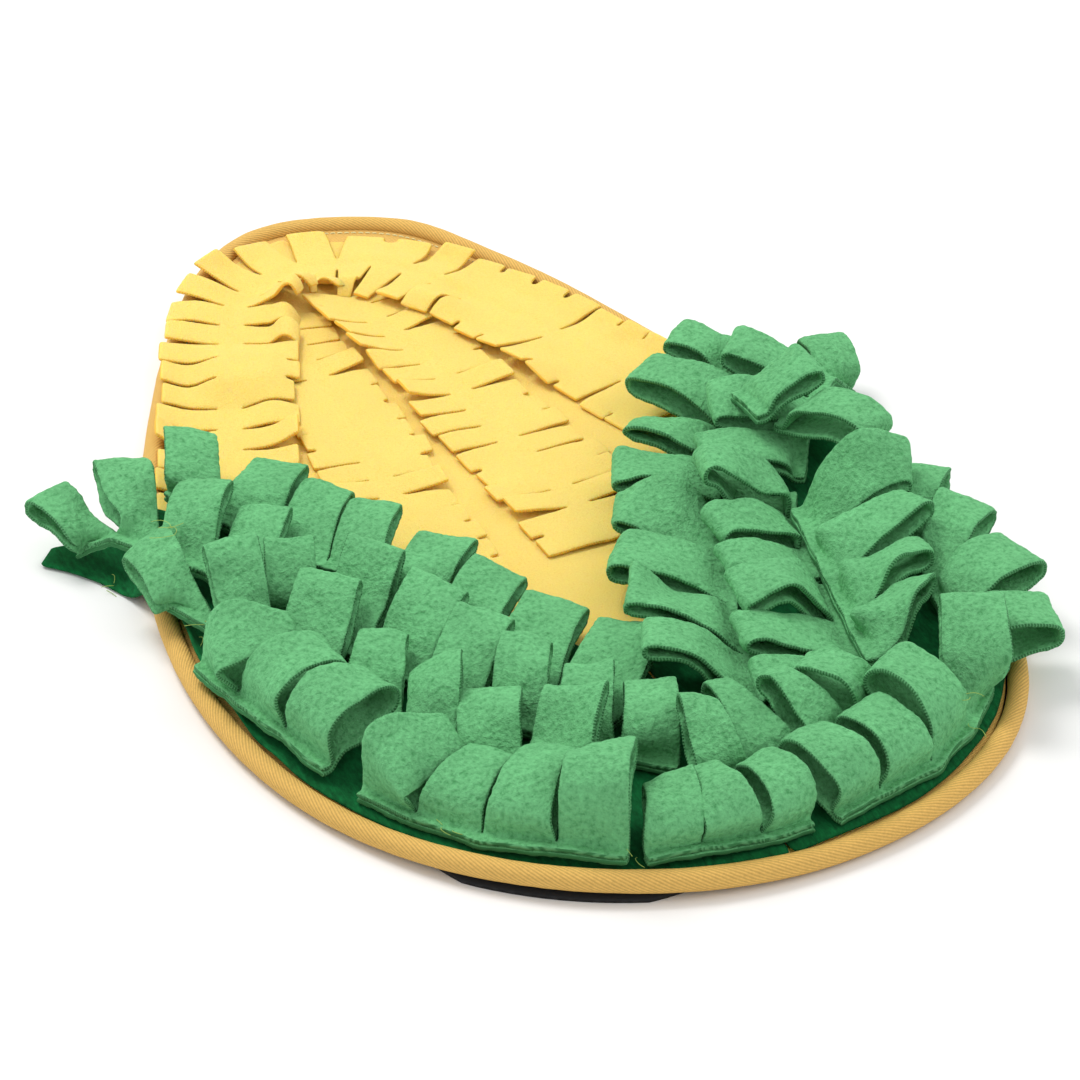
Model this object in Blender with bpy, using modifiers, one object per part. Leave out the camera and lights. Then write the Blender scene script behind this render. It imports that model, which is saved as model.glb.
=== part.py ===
"""Snuffle mat in the shape of a corn cob, lying flat.

A flat egg-shaped pad with a rolled edge carries three slit yellow fleece strips (the cob) and two
dark green felt leaves covered in rows of folded, slit green fleece (the husk).  Every strip is laid
by the same rule: it rests on whatever lies under it, so the pile builds up as it does on the floor.
Metres, +Z up, origin on the floor at the middle of the mat, the cob's tip towards +Y.
"""
import math

import bmesh
import bpy
import numpy as np
from mathutils import Vector

MM = 0.001
GAP = 0.3 * MM                # left between pieces that touch

# Outline of the pad, seen from above.
COB_LENGTH = 565 * MM
COB_WIDTH_TERMS = (164.8 * MM, -54.2 * MM, 9.1 * MM, 1.4 * MM)   # half width: cosine terms
COB_BEND_TERMS = (2.8 * MM, 4.2 * MM, 11.1 * MM)                 # sideways bend: cosine terms
TIP_BULGE = 6 * MM            # the far right shoulder of the tip is pushed out
TIP_BULGE_AT = math.radians(25)
TIP_BULGE_SPAN = math.radians(13)
OUTLINE_STEPS = 52

# Pad.
UNDERSIDE_THICK = 2.0 * MM
PANEL_THICK = 2.5 * MM
ROLL_RADIUS = 4.5 * MM
ROLL_HEIGHT = 5.0 * MM        # of the roll's middle above the floor
ROLL_LIFT = 3.0 * MM          # at the front left, where the underside shows
ROLL_LIFT_AT = math.radians(205)
ROLL_LIFT_SPAN = math.radians(32)
UNDERSIDE_INSET = 8.6 * MM    # from the outline
UNDERSIDE_SHOWN_INSET = 1.2 * MM
SHOWN_FROM = 0.55             # share of the lift where the underside starts to come out, and
SHOWN_FULLY = 0.8             # where it is wholly out
PANEL_INSET = 9.6 * MM

# Cloth.
FELT_THICK = 1.8 * MM
FLEECE_THICK = 2.3 * MM
FRINGE_THICK = 2.0 * MM
TAIL = 5 * MM                 # sewn edge of a folded strip, outside its seam
CURL = 4 * MM                 # height of a raised finger tip
SPINE = 5 * MM                # half width of the unslit middle of a yellow strip
EDGE_CLEARANCE = 2 * MM       # cloth draped over the roll
LAY_MARGIN = 0.45 * MM        # for the slope of a layer that lies on another
STEEPEST_SLOPE = 0.4          # of cloth over the edge of what it lies on
END_INSET = 0.2               # of half a loop's width, at both ends of a strip
SLIT_HALF = 0.6 * MM          # half the least width of a slit
SEAM_FRONT = 3 * MM           # how far from its seam a strip keeps the seam's height
RAISE_TURNS = 8               # turns of raising and lowering a loop onto the pile
LOWER_TURNS = 3

# Folds of a green loop, as shares of the flat part of its reach, and how far it opens there.
FIRST_BEND = 0.22
SECOND_BEND = 0.6
OPEN_AT_FIRST = 0.35          # of the opening inside its nose
OPEN_AT_SECOND = 0.85
LEAST_OPEN_FIRST = 0.6 * MM
LEAST_OPEN_SECOND = 1.0 * MM
NOSE_TURN = math.radians(30)  # of the two folds of its rounded nose, above and below the middle

# A loop that opens this far stands as a full arch: steeper, and bulging back over its sewn edge.
ARCH_OPENING = 10 * MM
ARCH_BACK = 7 * MM
ARCH_OPEN_AT_FIRST = 0.75
ARCH_OPEN_AT_SECOND = 1.1

# Height map of what has been laid so far.
MAP_STEP = 1.0 * MM
MAP_HALF_X = 240 * MM
MAP_HALF_Y = 330 * MM
MAP_LIFT = 0.2 * MM           # entered above each sheet's own top

COLOURS = {
    "black_grip": (0.012, 0.012, 0.012),
    "mustard": (0.80, 0.49, 0.105),
    "panel": (0.93, 0.66, 0.14),
    "felt": (0.002, 0.107, 0.02),
    "yellow": (0.95, 0.72, 0.16),
    "green": (0.155, 0.475, 0.20),
}

# Felt leaves: outer_x, outer_y, inner_x, inner_y in mm, from the base to the pointed tip.
LEAVES = {
    "felt_leaf_left": (
        (-1, -272, 1, -136),
        (-58, -261, -14, -116),
        (-102, -234, -28, -92),
        (-134, -195, -42, -70),
        (-154, -151, -56, -50),
        (-163, -106, -72, -28),
        (-164, -65, -90, -8),
        (-161, -36, -108, 12),
        (-166, -12, -126, 28),
        (-173, 10, -146, 42),
        (-183, 28, -166, 51),
        (-197, 44, -190, 53),
    ),
    "felt_leaf_right": (
        (1, -272, 3, -136),
        (60, -260, 17, -116),
        (104, -233, 28, -90),
        (134, -197, 42, -66),
        (150, -153, 57, -44),
        (150, -110, 73, -20),
        (150, -72, 91, 2),
        (160, -52, 108, 20),
        (168, -30, 126, 35),
        (173, 2, 145, 49),
        (182, 34, 166, 61),
        (198, 60, 190, 68),
    ),
}
LEAF_CELLS = 6                # across a leaf
LEAF_SECTIONS = 26            # along it
RELAX_TURNS = 12
FELT_DROP = 30 * MM           # more than any cell needs to be lowered
# Yellow strips: seam points in mm from end to end; count: fingers on each side;
# left, right: length in mm of the first and of the last finger on that side of the seam;
# curled: fingers with raised tips;
# bends: where a finger bends, as shares of its length.
YELLOW_STRIPS = {
    "yellow_strip_left": dict(
        seam=((-48, -52), (-46, -8), (-43, 36), (-38, 78), (-36, 118), (-36, 160), (-30, 196)),
        count=16, left=(30, 26), right=(33, 24), curled=(5, 12), bends=()),
    "yellow_strip_right": dict(
        seam=((29, -44), (27, 2), (22, 48), (19, 92), (16, 132), (9, 170), (5, 205)),
        count=16, left=(32, 27), right=(40, 26), curled=(2, 9, 13), bends=()),
    "yellow_strip_outer": dict(
        seam=((-117, 22), (-100, 74), (-84, 120), (-66, 168), (-46, 212), (-12, 236),
              (26, 224), (50, 190), (70, 152), (84, 110), (97, 70), (106, 44)),
        count=27, left=(34, 31), right=(31, 35),
        curled=(4, 9, 11, 12, 14, 17), bends=(0.5,)),
}

# Green strips: one line for each loop, in order along its seam, in mm and degrees.
# x, y: middle of its root; heading: 0 to the right, 90 to the tip; reach: root to nose;
# rise: nose above root; open: height inside the nose; width.
# The strips are laid in this order, so that each lies over the roots of the one before.
GREEN_STRIPS = {
    # left leaf, from the cob outwards
    "left_row_1_upper": (
        (-131, 38, 74, 42, 6, 4, 24),
        (-118, 10, 48, 42, 4, 3, 27),
        (-102, -17, 46, 42, 4, 3, 28),
        (-87, -41, 50, 40, 5, 4, 26),
    ),
    "left_row_1_lower": (
        (-75, -67, 45, 42, 4, 3, 28),
        (-62, -96, 42, 42, 4, 3, 27),
        (-48, -127, 46, 44, 4, 3, 31),
        (-32, -160, 45, 48, 6, 3, 34),
    ),
    "left_row_2_upper": (
        (-175, 32, 122, 32, 8, 5, 26),
        (-163, 14, 84, 38, 12, 6, 24),
        (-150, -6, 56, 40, 10, 4, 27),
        (-134, -30, 56, 42, 8, 3, 28),
    ),
    "left_row_2_middle": (
        (-121, -55, 72, 27, 8, 10, 24),
        (-108, -80, 46, 40, 8, 4, 28),
        (-94, -106, 44, 42, 8, 3, 28),
        (-80, -132, 45, 42, 8, 3, 28),
    ),
    "left_row_2_lower": (
        (-64, -158, 55, 34, 10, 6, 24),
        (-48, -183, 62, 32, 10, 6, 24),
        (-26, -202, 70, 30, 8, 9, 24),
    ),
    "left_row_3_upper": (
        (-160, -40, 100, 34, 10, 5, 26),
        (-147, -70, 84, 34, 10, 5, 25),
        (-130, -99, 52, 42, 10, 5, 29),
    ),
    "left_row_3_lower": (
        (-114, -130, 60, 36, 10, 6, 27),
        (-101, -158, 70, 34, 10, 6, 25),
        (-88, -184, 62, 34, 10, 5, 26),
        (-70, -208, 50, 40, 10, 5, 29),
    ),
    # right leaf: two rows towards the cob, two outwards
    "right_row_1_upper": (
        (129, 36, 128, 34, 5, 4, 26),
        (113, 17, 126, 44, 4, 7, 27),
        (97, -9, 140, 40, 4, 3, 27),
        (80, -37, 150, 42, 4, 3, 29),
    ),
    "right_row_1_lower": (
        (66, -67, 148, 42, 4, 3, 29),
        (53, -99, 143, 44, 5, 4, 33),
        (43, -134, 150, 44, 4, 3, 34),
        (34, -171, 155, 44, 4, 3, 32),
    ),
    "right_row_4_upper": (
        (142, -104, 62, 32, 8, 8, 26),
        (137, -130, 34, 38, 8, 6, 26),
        (130, -158, 10, 40, 8, 8, 32),
        (121, -190, -14, 36, 8, 9, 28),
    ),
    "right_row_2_upper": (
        (172, 22, 84, 26, 6, 5, 22),
        (154, 12, 134, 42, 6, 6, 22),
        (138, -10, 163, 42, 6, 4, 27),
        (123, -33, 166, 44, 6, 3, 28),
    ),
    "right_row_2_middle": (
        (106, -57, 168, 40, 6, 9, 24),
        (97, -80, 184, 38, 6, 6, 24),
        (91, -104, 178, 38, 6, 4, 25),
    ),
    "right_row_2_lower": (
        (86, -131, 174, 40, 6, 4, 28),
        (79, -162, 170, 44, 6, 4, 32),
        (71, -193, 168, 44, 6, 4, 28),
    ),
    # front, and the outermost row of the left leaf
    "front_row_1": (
        (61, -213, 134, 28, 6, 8, 24),
        (42, -226, 116, 30, 6, 8, 24),
        (14, -226, 97, 46, 8, 7, 27),
        (-9, -229, 80, 28, 8, 9, 22),
    ),
    "front_row_3": (
        (3, -263, 104, 26, 7, 10, 24),
        (-21, -263, 88, 27, 8, 11, 25),
        (-46, -260, 70, 27, 7, 9, 24),
    ),
    "left_row_4_upper": (
        (-164, -88, -12, 32, 8, 12, 30),
        (-157, -118, 4, 33, 8, 12, 28),
        (-147, -148, 18, 36, 8, 12, 28),
    ),
    "left_row_4_lower": (
        (-131, -186, 12, 34, 8, 10, 26),
        (-116, -211, 44, 34, 7, 8, 27),
        (-96, -232, 40, 38, 8, 11, 28),
        (-71, -250, 56, 36, 8, 9, 28),
    ),
    "right_bent_loop": ((127, -24, -62, 42, 5, 8, 24),),
    "right_row_3": (
        (103, -84, -12, 46, 5, 5, 30),
        (96, -115, 16, 46, 6, 7, 28),
        (90, -145, 6, 44, 6, 7, 28),
        (84, -174, 36, 38, 6, 7, 26),
    ),
    "front_row_2": (
        (108, -220, 66, 33, 9, 11, 28),
        (86, -243, 122, 34, 10, 14, 30),
        (58, -253, 106, 28, 8, 10, 25),
        (32, -260, 112, 29, 8, 12, 25),
    ),
    # a loop thrown back over the rest
    "right_tube": ((110, -16, 5, 30, 2, 5, 24),),
}


def cosine_sum(terms, angle):
    return sum(term * math.cos(order * angle) for order, term in enumerate(terms))


def outline_point(angle):
    """Point of the pad's outline; angle 0 is the tip, and it runs clockwise seen from above."""
    bulge = TIP_BULGE * math.exp(-((angle - TIP_BULGE_AT) / TIP_BULGE_SPAN) ** 2)
    half_width = math.sin(angle) * cosine_sum(COB_WIDTH_TERMS, angle)
    bend = math.sin(angle) ** 2 * cosine_sum(COB_BEND_TERMS, angle)
    return Vector((half_width + bend + bulge, COB_LENGTH / 2 * math.cos(angle) + bulge / 2))


def lift_share(angle):
    """How far the roll is lifted off the floor, 0 to 1."""
    off = abs(angle % (2 * math.pi) - ROLL_LIFT_AT)
    return math.cos(off / ROLL_LIFT_SPAN * math.pi / 2) ** 2 if off < ROLL_LIFT_SPAN else 0.0


def roll_height(angle):
    return ROLL_HEIGHT + ROLL_LIFT * lift_share(angle)


def underside_inset(angle):
    shown = (lift_share(angle) - SHOWN_FROM) / (SHOWN_FULLY - SHOWN_FROM)
    shown = min(1.0, max(0.0, shown))
    return UNDERSIDE_INSET + (UNDERSIDE_SHOWN_INSET - UNDERSIDE_INSET) * shown


def outline(inset_at, steps=OUTLINE_STEPS):
    """Closed outline drawn in by a distance that depends on the angle."""
    ring = [outline_point(2 * math.pi * i / steps) for i in range(steps)]
    points = []
    for i in range(steps):
        along = (ring[(i + 1) % steps] - ring[i - 1]).normalized()
        points.append(ring[i] + Vector((along.y, -along.x)) * inset_at(2 * math.pi * i / steps))
    return points


def smooth_path(points, count):
    """count + 1 points evenly spaced along a Catmull-Rom curve through the given ones."""
    ends = [2 * points[0] - points[1]] + list(points) + [2 * points[-1] - points[-2]]
    fine = []
    for i in range(1, len(ends) - 2):
        before, start, stop, after = ends[i - 1:i + 3]
        for step in range(20):
            t = step / 20
            fine.append(0.5 * (2 * start + (stop - before) * t
                               + (2 * before - 5 * start + 4 * stop - after) * t ** 2
                               + (3 * start - before - 3 * stop + after) * t ** 3))
    fine.append(points[-1])
    lengths = [0.0]
    for a, b in zip(fine, fine[1:]):
        lengths.append(lengths[-1] + (b - a).length)
    even = []
    for i in range(count + 1):
        target = lengths[-1] * i / count
        k = min(max(int(np.searchsorted(lengths, target)), 1), len(fine) - 1)
        share = (target - lengths[k - 1]) / max(lengths[k] - lengths[k - 1], 1e-9)
        even.append(fine[k - 1].lerp(fine[k], share))
    return even


def heading_vector(degrees):
    return Vector((math.cos(math.radians(degrees)), math.sin(math.radians(degrees))))


def twist(a, b, c, d):
    """How far the fold across a four-cornered patch stands off its smooth surface."""
    return abs(a - b - c + d) / 4


def bulge(u, v):
    """Share of the twist at a place in the patch, 1 in its middle."""
    return 16 * u * (1 - u) * v * (1 - v)


class Pile:
    """Height of the top of everything laid so far, on a square grid.

    drape is the same height with its steps eased to the slope that cloth lies at over an edge.
    """

    def __init__(self):
        size = (int(2 * MAP_HALF_X / MAP_STEP), int(2 * MAP_HALF_Y / MAP_STEP))
        self.top = np.zeros(size)
        self.drape = self.top

    def ease(self, reaches=(1, 2, 4)):
        """Work out drape from top; reaches, in cells, add up to how far a step is eased."""
        eased = self.top.copy()
        for reach in reaches:
            for di, dj in ((1, 0), (0, 1), (1, 1), (1, -1)):
                drop = STEEPEST_SLOPE * MAP_STEP * reach * math.hypot(di, dj)
                for sign in (1, -1):
                    shift = (di * reach * sign, dj * reach * sign)
                    eased = np.maximum(eased, np.roll(eased, shift, (0, 1)) - drop)
        self.drape = eased

    def cells(self, x, y):
        i = np.clip(((x + MAP_HALF_X) / MAP_STEP).astype(int), 1, self.top.shape[0] - 2)
        j = np.clip(((y + MAP_HALF_Y) / MAP_STEP).astype(int), 1, self.top.shape[1] - 2)
        return i, j

    def read_drape(self, x, y):
        return self.drape[self.cells(x, y)]

    def read(self, x, y):
        i, j = self.cells(x, y)
        height = self.top[i, j]
        for di, dj in ((1, 0), (-1, 0), (0, 1), (0, -1)):
            height = np.maximum(height, self.top[i + di, j + dj])
        return height

    def add_patch(self, near_left, near_right, far_left, far_right, lift):
        """Raise the map to a bilinear patch, lifted by half the cloth's thickness."""
        corners = [np.array(p) for p in (near_left, near_right, far_left, far_right)]
        across = max(np.linalg.norm(corners[1] - corners[0]), np.linalg.norm(corners[3] - corners[2]))
        along = max(np.linalg.norm(corners[2] - corners[0]), np.linalg.norm(corners[3] - corners[1]))
        u = np.linspace(0, 1, int(across / MAP_STEP * 1.6) + 2)[None, :, None]
        v = np.linspace(0, 1, int(along / MAP_STEP * 1.6) + 2)[:, None, None]
        points = ((1 - v) * ((1 - u) * corners[0] + u * corners[1])
                  + v * ((1 - u) * corners[2] + u * corners[3]))
        crease = twist(corners[0][2], corners[1][2], corners[2][2], corners[3][2]) * bulge(u, v)[..., 0]
        i, j = self.cells(points[..., 0], points[..., 1])
        np.maximum.at(self.top, (i, j), points[..., 2] + crease + lift)

    def add_sheet(self, table, cells, rows, lift):
        for cell in range(cells):
            for row in range(rows - 1):
                self.add_patch(table[cell, 0, row], table[cell, 1, row],
                               table[cell, 0, row + 1], table[cell, 1, row + 1], lift)
        self.ease()


class Lane:
    """The ground path of one loop or finger: middle line, cross direction and half width.

    places: distance from the root of each section; nose: how far the rounded end goes beyond.
    """

    def __init__(self, root_left, root_right, direction, half_width, places, fences, nose=0.0):
        self.places = places
        self.direction = direction
        self.nose = nose
        side = Vector((-direction.y, direction.x))
        self.middles, self.halves = [], []
        for place in places:
            if place == 0:
                left, right = root_left, root_right
            else:
                middle = (root_left + root_right) / 2 + direction * place
                left = keep_inside(middle + side * half_width, root_left, fences[0], -1)
                right = keep_inside(middle - side * half_width, root_right, fences[1], 1)
            self.middles.append((left + right) / 2)
            self.halves.append((left - right) / 2)

    def edge(self, section, where):
        """Ground point of a section, from where = 1 at its left edge to -1 at its right."""
        return self.middles[section] + self.halves[section] * where

    def rest(self, pile, clearance, ahead):
        """Height and tilt of each section of a stiff strip that rests on the pile."""
        wheres = np.linspace(-1, 1, 9)
        heights, tilts = [], []
        for k in range(1, len(self.places)):
            front = ahead if k + 1 == len(self.places) else MAP_STEP
            shifts = np.linspace(-MAP_STEP, front, 5)
            x = (self.middles[k].x + self.halves[k].x * wheres[:, None] + self.direction.x * shifts)
            y = (self.middles[k].y + self.halves[k].y * wheres[:, None] + self.direction.y * shifts)
            under = pile.read_drape(x, y).max(axis=1)
            tilt = resting_tilt(wheres * self.halves[k].length, under)
            tilts.append(tilt)
            heights.append((under - tilt * wheres * self.halves[k].length).max() + clearance)
        return heights, tilts

    def room_below(self, pile, heights, tilts, clearance, k):
        """Least room under the straight run from section k to the next, along the run."""
        wheres = np.linspace(-1, 1, 9)[:, None]
        shares = np.linspace(0, 1, 9)[None, :]
        a, b = self.middles[k], self.middles[k + 1]
        half_a, half_b = self.halves[k], self.halves[k + 1]
        x = (a.x + half_a.x * wheres) * (1 - shares) + (b.x + half_b.x * wheres) * shares
        y = (a.y + half_a.y * wheres) * (1 - shares) + (b.y + half_b.y * wheres) * shares
        z = ((heights[k] + tilts[k] * half_a.length * wheres) * (1 - shares)
             + (heights[k + 1] + tilts[k + 1] * half_b.length * wheres) * shares)
        edges = [heights[i] + tilts[i] * self.halves[i].length * sign
                 for i in (k, k + 1) for sign in (-1, 1)]
        z = z - twist(*edges) * bulge((wheres + 1) / 2, shares)
        room = (z - pile.read(x, y) - clearance).min(axis=0)
        if k == 0:
            room = np.where(shares[0] * self.places[1] < SEAM_FRONT, 1.0, room)
        return shares[0], room

    def room_below_nose(self, pile, height, tilt, clearance):
        """Least room under the rounded end, which rises ahead of the last section."""
        wheres = np.linspace(-1, 1, 9)[:, None]
        ahead = np.linspace(0, self.nose, 5)[None, :]
        middle, half = self.middles[-1], self.halves[-1]
        x = middle.x + half.x * wheres + self.direction.x * ahead
        y = middle.y + half.y * wheres + self.direction.y * ahead
        z = height + tilt * half.length * wheres + ahead * math.tan(NOSE_TURN) / 2
        return (z - pile.read(x, y) - clearance).min()

    def settle(self, pile, heights, tilts, clearance, least):
        """Raise sections until the runs between them clear the pile, then lower them onto it."""
        last = len(heights) - 1
        for _ in range(RAISE_TURNS):
            for k in range(last):
                shares, room = self.room_below(pile, heights, tilts, clearance, k)
                worst = int(room.argmin())
                if room[worst] >= 0:
                    continue
                share = shares[worst]
                if k == 0:
                    heights[1] -= room[worst] / share
                    continue
                lift = -room[worst] / (share ** 2 + (1 - share) ** 2)
                heights[k] += lift * (1 - share)
                heights[k + 1] += lift * share
            heights[last] -= min(0.0, self.room_below_nose(pile, heights[last], tilts[last], clearance))
        for _ in range(LOWER_TURNS):
            for k in range(1, last + 1):
                drop = heights[k] - least[k]
                shares, room = self.room_below(pile, heights, tilts, clearance, k - 1)
                drop = min(drop, (room[1:] / shares[1:]).min())
                if k < last:
                    shares, room = self.room_below(pile, heights, tilts, clearance, k)
                    drop = min(drop, (room[:-1] / (1 - shares[:-1])).min())
                else:
                    drop = min(drop, self.room_below_nose(pile, heights[k], tilts[k], clearance))
                heights[k] -= max(0.0, drop)
        return heights


def keep_inside(flat, root, fence, wanted):
    """Hold a point on its own side of the line between two neighbours of a strip."""
    if fence is None:
        return flat
    across = Vector((-fence.y, fence.x))
    offset = (flat - root).dot(across) * wanted
    if offset >= SLIT_HALF:
        return flat
    return flat + across * wanted * (SLIT_HALF - offset)


def resting_tilt(offsets, under):
    """Slope of the lowest straight line above the pile's profile, at its middle."""
    best_height, best_tilt = under[len(under) // 2], 0.0
    for a in range(len(offsets) // 2):
        for b in range(len(offsets) // 2 + 1, len(offsets)):
            tilt = (under[b] - under[a]) / (offsets[b] - offsets[a])
            height = under[a] - tilt * offsets[a]
            if height > best_height:
                best_height, best_tilt = height, tilt
    return best_tilt


def point(flat, height):
    return (flat.x, flat.y, height)


def slit_sheet(name, cells, rows, slit_rows, place, thickness, colour):
    """A flat grid, slit between its columns, moved to where it lies and thickened.

    place(cell, side, row) gives the point of a cell's left (side 0) or right (side 1) edge.
    """
    mesh = bpy.data.meshes.new(name)
    sheet = bmesh.new()
    bmesh.ops.create_grid(sheet, x_segments=cells, y_segments=rows - 1, size=1.0)
    column_of = {vert: round((vert.co.x + 1) / 2 * cells) for vert in sheet.verts}
    row_of = {vert: round((vert.co.y + 1) / 2 * (rows - 1)) for vert in sheet.verts}
    slits = []
    for edge in sheet.edges:
        a, b = edge.verts
        if column_of[a] == column_of[b] and 0 < column_of[a] < cells:
            if min(row_of[a], row_of[b]) in slit_rows:
                slits.append(edge)
    for vert in sheet.verts:
        vert.co = (column_of[vert], row_of[vert], 0)
    bmesh.ops.split_edges(sheet, edges=slits)
    targets = {}
    for face in sheet.faces:
        cell = int(face.calc_center_median().x)
        for vert in face.verts:
            side = 0 if vert.co.x < cell + 0.5 else 1
            targets[vert] = place(cell, side, round(vert.co.y))
    for vert, target in targets.items():
        vert.co = target
    bmesh.ops.recalc_face_normals(sheet, faces=sheet.faces)
    sheet.to_mesh(mesh)
    sheet.free()
    piece = new_object(name, mesh, colour)
    solidify = piece.modifiers.new("thickness", "SOLIDIFY")
    solidify.thickness = thickness
    solidify.offset = 0
    solidify.use_quality_normals = True
    return piece


def cloth_material(name, colour):
    material = bpy.data.materials.new(name)
    material.use_nodes = True
    shader = material.node_tree.nodes["Principled BSDF"]
    shader.inputs["Base Color"].default_value = (*COLOURS[colour], 1)
    shader.inputs["Roughness"].default_value = 0.9
    shader.inputs["Metallic"].default_value = 0.0
    return material


def new_object(name, mesh, colour):
    piece = bpy.data.objects.new(name, mesh)
    piece.data.materials.append(cloth_material(name + "_cloth", colour))
    parts.objects.link(piece)
    return piece


def flat_panel(name, points, bottom, thickness, colour):
    """A flat sheet with the given outline."""
    curve = bpy.data.curves.new(name, "CURVE")
    curve.dimensions = "2D"
    curve.fill_mode = "BOTH"
    curve.extrude = thickness / 2
    spline = curve.splines.new("POLY")
    spline.points.add(len(points) - 1)
    for slot, flat in zip(spline.points, points):
        slot.co = (flat.x, flat.y, 0, 1)
    spline.use_cyclic_u = True
    piece = new_object(name, curve, colour)
    piece.location.z = bottom + thickness / 2
    return piece


def edge_roll():
    """The round padded edge, a closed tube along the outline."""
    curve = bpy.data.curves.new("edge_roll", "CURVE")
    curve.dimensions = "3D"
    curve.bevel_depth = ROLL_RADIUS
    curve.bevel_resolution = 2
    spline = curve.splines.new("POLY")
    points = outline(lambda angle: ROLL_RADIUS)
    spline.points.add(len(points) - 1)
    for index, (slot, flat) in enumerate(zip(spline.points, points)):
        slot.co = (flat.x, flat.y, roll_height(2 * math.pi * index / len(points)), 1)
    spline.use_cyclic_u = True
    return new_object("edge_roll", curve, "mustard")


def map_pad(pile):
    """Enter the panel and the roll in the height map."""
    size_x, size_y = pile.top.shape
    x = (np.arange(size_x) + 0.5) * MAP_STEP - MAP_HALF_X
    y = (np.arange(size_y) + 0.5) * MAP_STEP - MAP_HALF_Y
    grid_x, grid_y = np.meshgrid(x, y, indexing="ij")
    ring = np.array([tuple(p) for p in outline(lambda angle: ROLL_RADIUS, 360)])
    far = np.full(grid_x.shape, 1e3)
    middle = np.zeros(grid_x.shape)
    inside = np.zeros(grid_x.shape, bool)
    for k, ((ax, ay), (bx, by)) in enumerate(zip(ring, np.roll(ring, -1, axis=0))):
        distance = np.hypot(grid_x - ax, grid_y - ay)
        middle = np.where(distance < far, roll_height(2 * math.pi * k / len(ring)), middle)
        far = np.minimum(far, distance)
        crosses = (ay > grid_y) != (by > grid_y)
        slope = (bx - ax) / (by - ay) if by != ay else 0.0
        inside ^= crosses & (grid_x < ax + (grid_y - ay) * slope)
    panel_top = UNDERSIDE_THICK + GAP + PANEL_THICK
    pile.top[inside] = panel_top
    on_roll = far < ROLL_RADIUS
    pile.top[on_roll] = middle[on_roll] + np.sqrt(ROLL_RADIUS ** 2 - far[on_roll] ** 2)
    pile.ease()


def leaf_room(cell, pile, clearance):
    """Room under one cell of a leaf at points across it, and each corner's share of their height."""
    v, u = np.meshgrid(np.linspace(0, 1, 9), np.linspace(0, 1, 9))
    shares = np.array([[(1 - u) * (1 - v), (1 - u) * v], [u * (1 - v), u * v]])
    x, y, z = (np.einsum("ij,ijkl->kl", cell[..., axis], shares) for axis in range(3))
    under = pile.read(x, y)
    over_roll = np.where(under > ROLL_HEIGHT + 0.5 * ROLL_RADIUS, EDGE_CLEARANCE, 0)
    z = z - twist(*cell[..., 2].ravel()) * bulge(u, v)
    return z - under - over_roll - clearance, shares


def felt_leaf(name, sections, pile):
    """A flat leaf that lies on the pad and over its roll."""
    clearance = GAP + FELT_THICK / 2 + LAY_MARGIN
    outers = smooth_path([Vector(section[:2]) for section in sections], LEAF_SECTIONS)
    inners = smooth_path([Vector(section[2:]) for section in sections], LEAF_SECTIONS)
    count = LEAF_SECTIONS
    grid = np.zeros((count + 1, LEAF_CELLS + 1, 3))
    for i, ((outer_x, outer_y), (inner_x, inner_y)) in enumerate(zip(outers, inners)):
        for row in range(LEAF_CELLS + 1):
            share = row / LEAF_CELLS
            grid[i, row, 0] = (outer_x + (inner_x - outer_x) * share) * MM
            grid[i, row, 1] = (outer_y + (inner_y - outer_y) * share) * MM
    grid[..., 2] = pile.read(grid[..., 0], grid[..., 1]) + clearance
    for _ in range(RELAX_TURNS):
        for i in range(count):
            for row in range(LEAF_CELLS):
                room, shares = leaf_room(grid[i:i + 2, row:row + 2], pile, clearance)
                worst = np.unravel_index(room.argmin(), room.shape)
                if room[worst] < 0:
                    weights = shares[:, :, worst[0], worst[1]]
                    grid[i:i + 2, row:row + 2, 2] -= weights * room[worst] / (weights ** 2).sum()
    for i in range(count + 1):
        for row in range(LEAF_CELLS + 1):
            drop = FELT_DROP
            for di in (0, 1):
                for dj in (0, 1):
                    if 0 <= i - di < count and 0 <= row - dj < LEAF_CELLS:
                        cell = grid[i - di:i - di + 2, row - dj:row - dj + 2]
                        room, shares = leaf_room(cell, pile, clearance)
                        drop = min(drop, (room / np.maximum(shares[di, dj], 0.02)).min())
            grid[i, row, 2] -= max(0.0, min(drop, grid[i, row, 2] - FELT_THICK))
    table = {}
    for i in range(count):
        for side in (0, 1):
            for row in range(LEAF_CELLS + 1):
                table[i, side, row] = tuple(grid[i + side, row])
    pile.add_sheet(table, count, LEAF_CELLS + 1, FELT_THICK / 2 + MAP_LIFT)
    return slit_sheet(name, count, LEAF_CELLS + 1, (), lambda *key: table[key], FELT_THICK, "felt")


def seam_heights(pile, backs, fronts, clearance):
    """Height of each point of a seam, above all that lies between the lines behind and before it."""
    under = []
    for i in range(len(backs) - 1):
        corners = [np.array(p) for p in (fronts[i], fronts[i + 1], backs[i], backs[i + 1])]
        u, v = np.meshgrid(np.linspace(0, 1, 13), np.linspace(0, 1, 9))
        u, v = u[..., None], v[..., None]
        spots = ((1 - v) * ((1 - u) * corners[0] + u * corners[1])
                 + v * ((1 - u) * corners[2] + u * corners[3]))
        under.append(pile.read(spots[..., 0], spots[..., 1]).max())
    last = len(under) - 1
    return [max(under[max(i - 1, 0)], under[min(i, last)]) + clearance for i in range(len(backs))]


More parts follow.
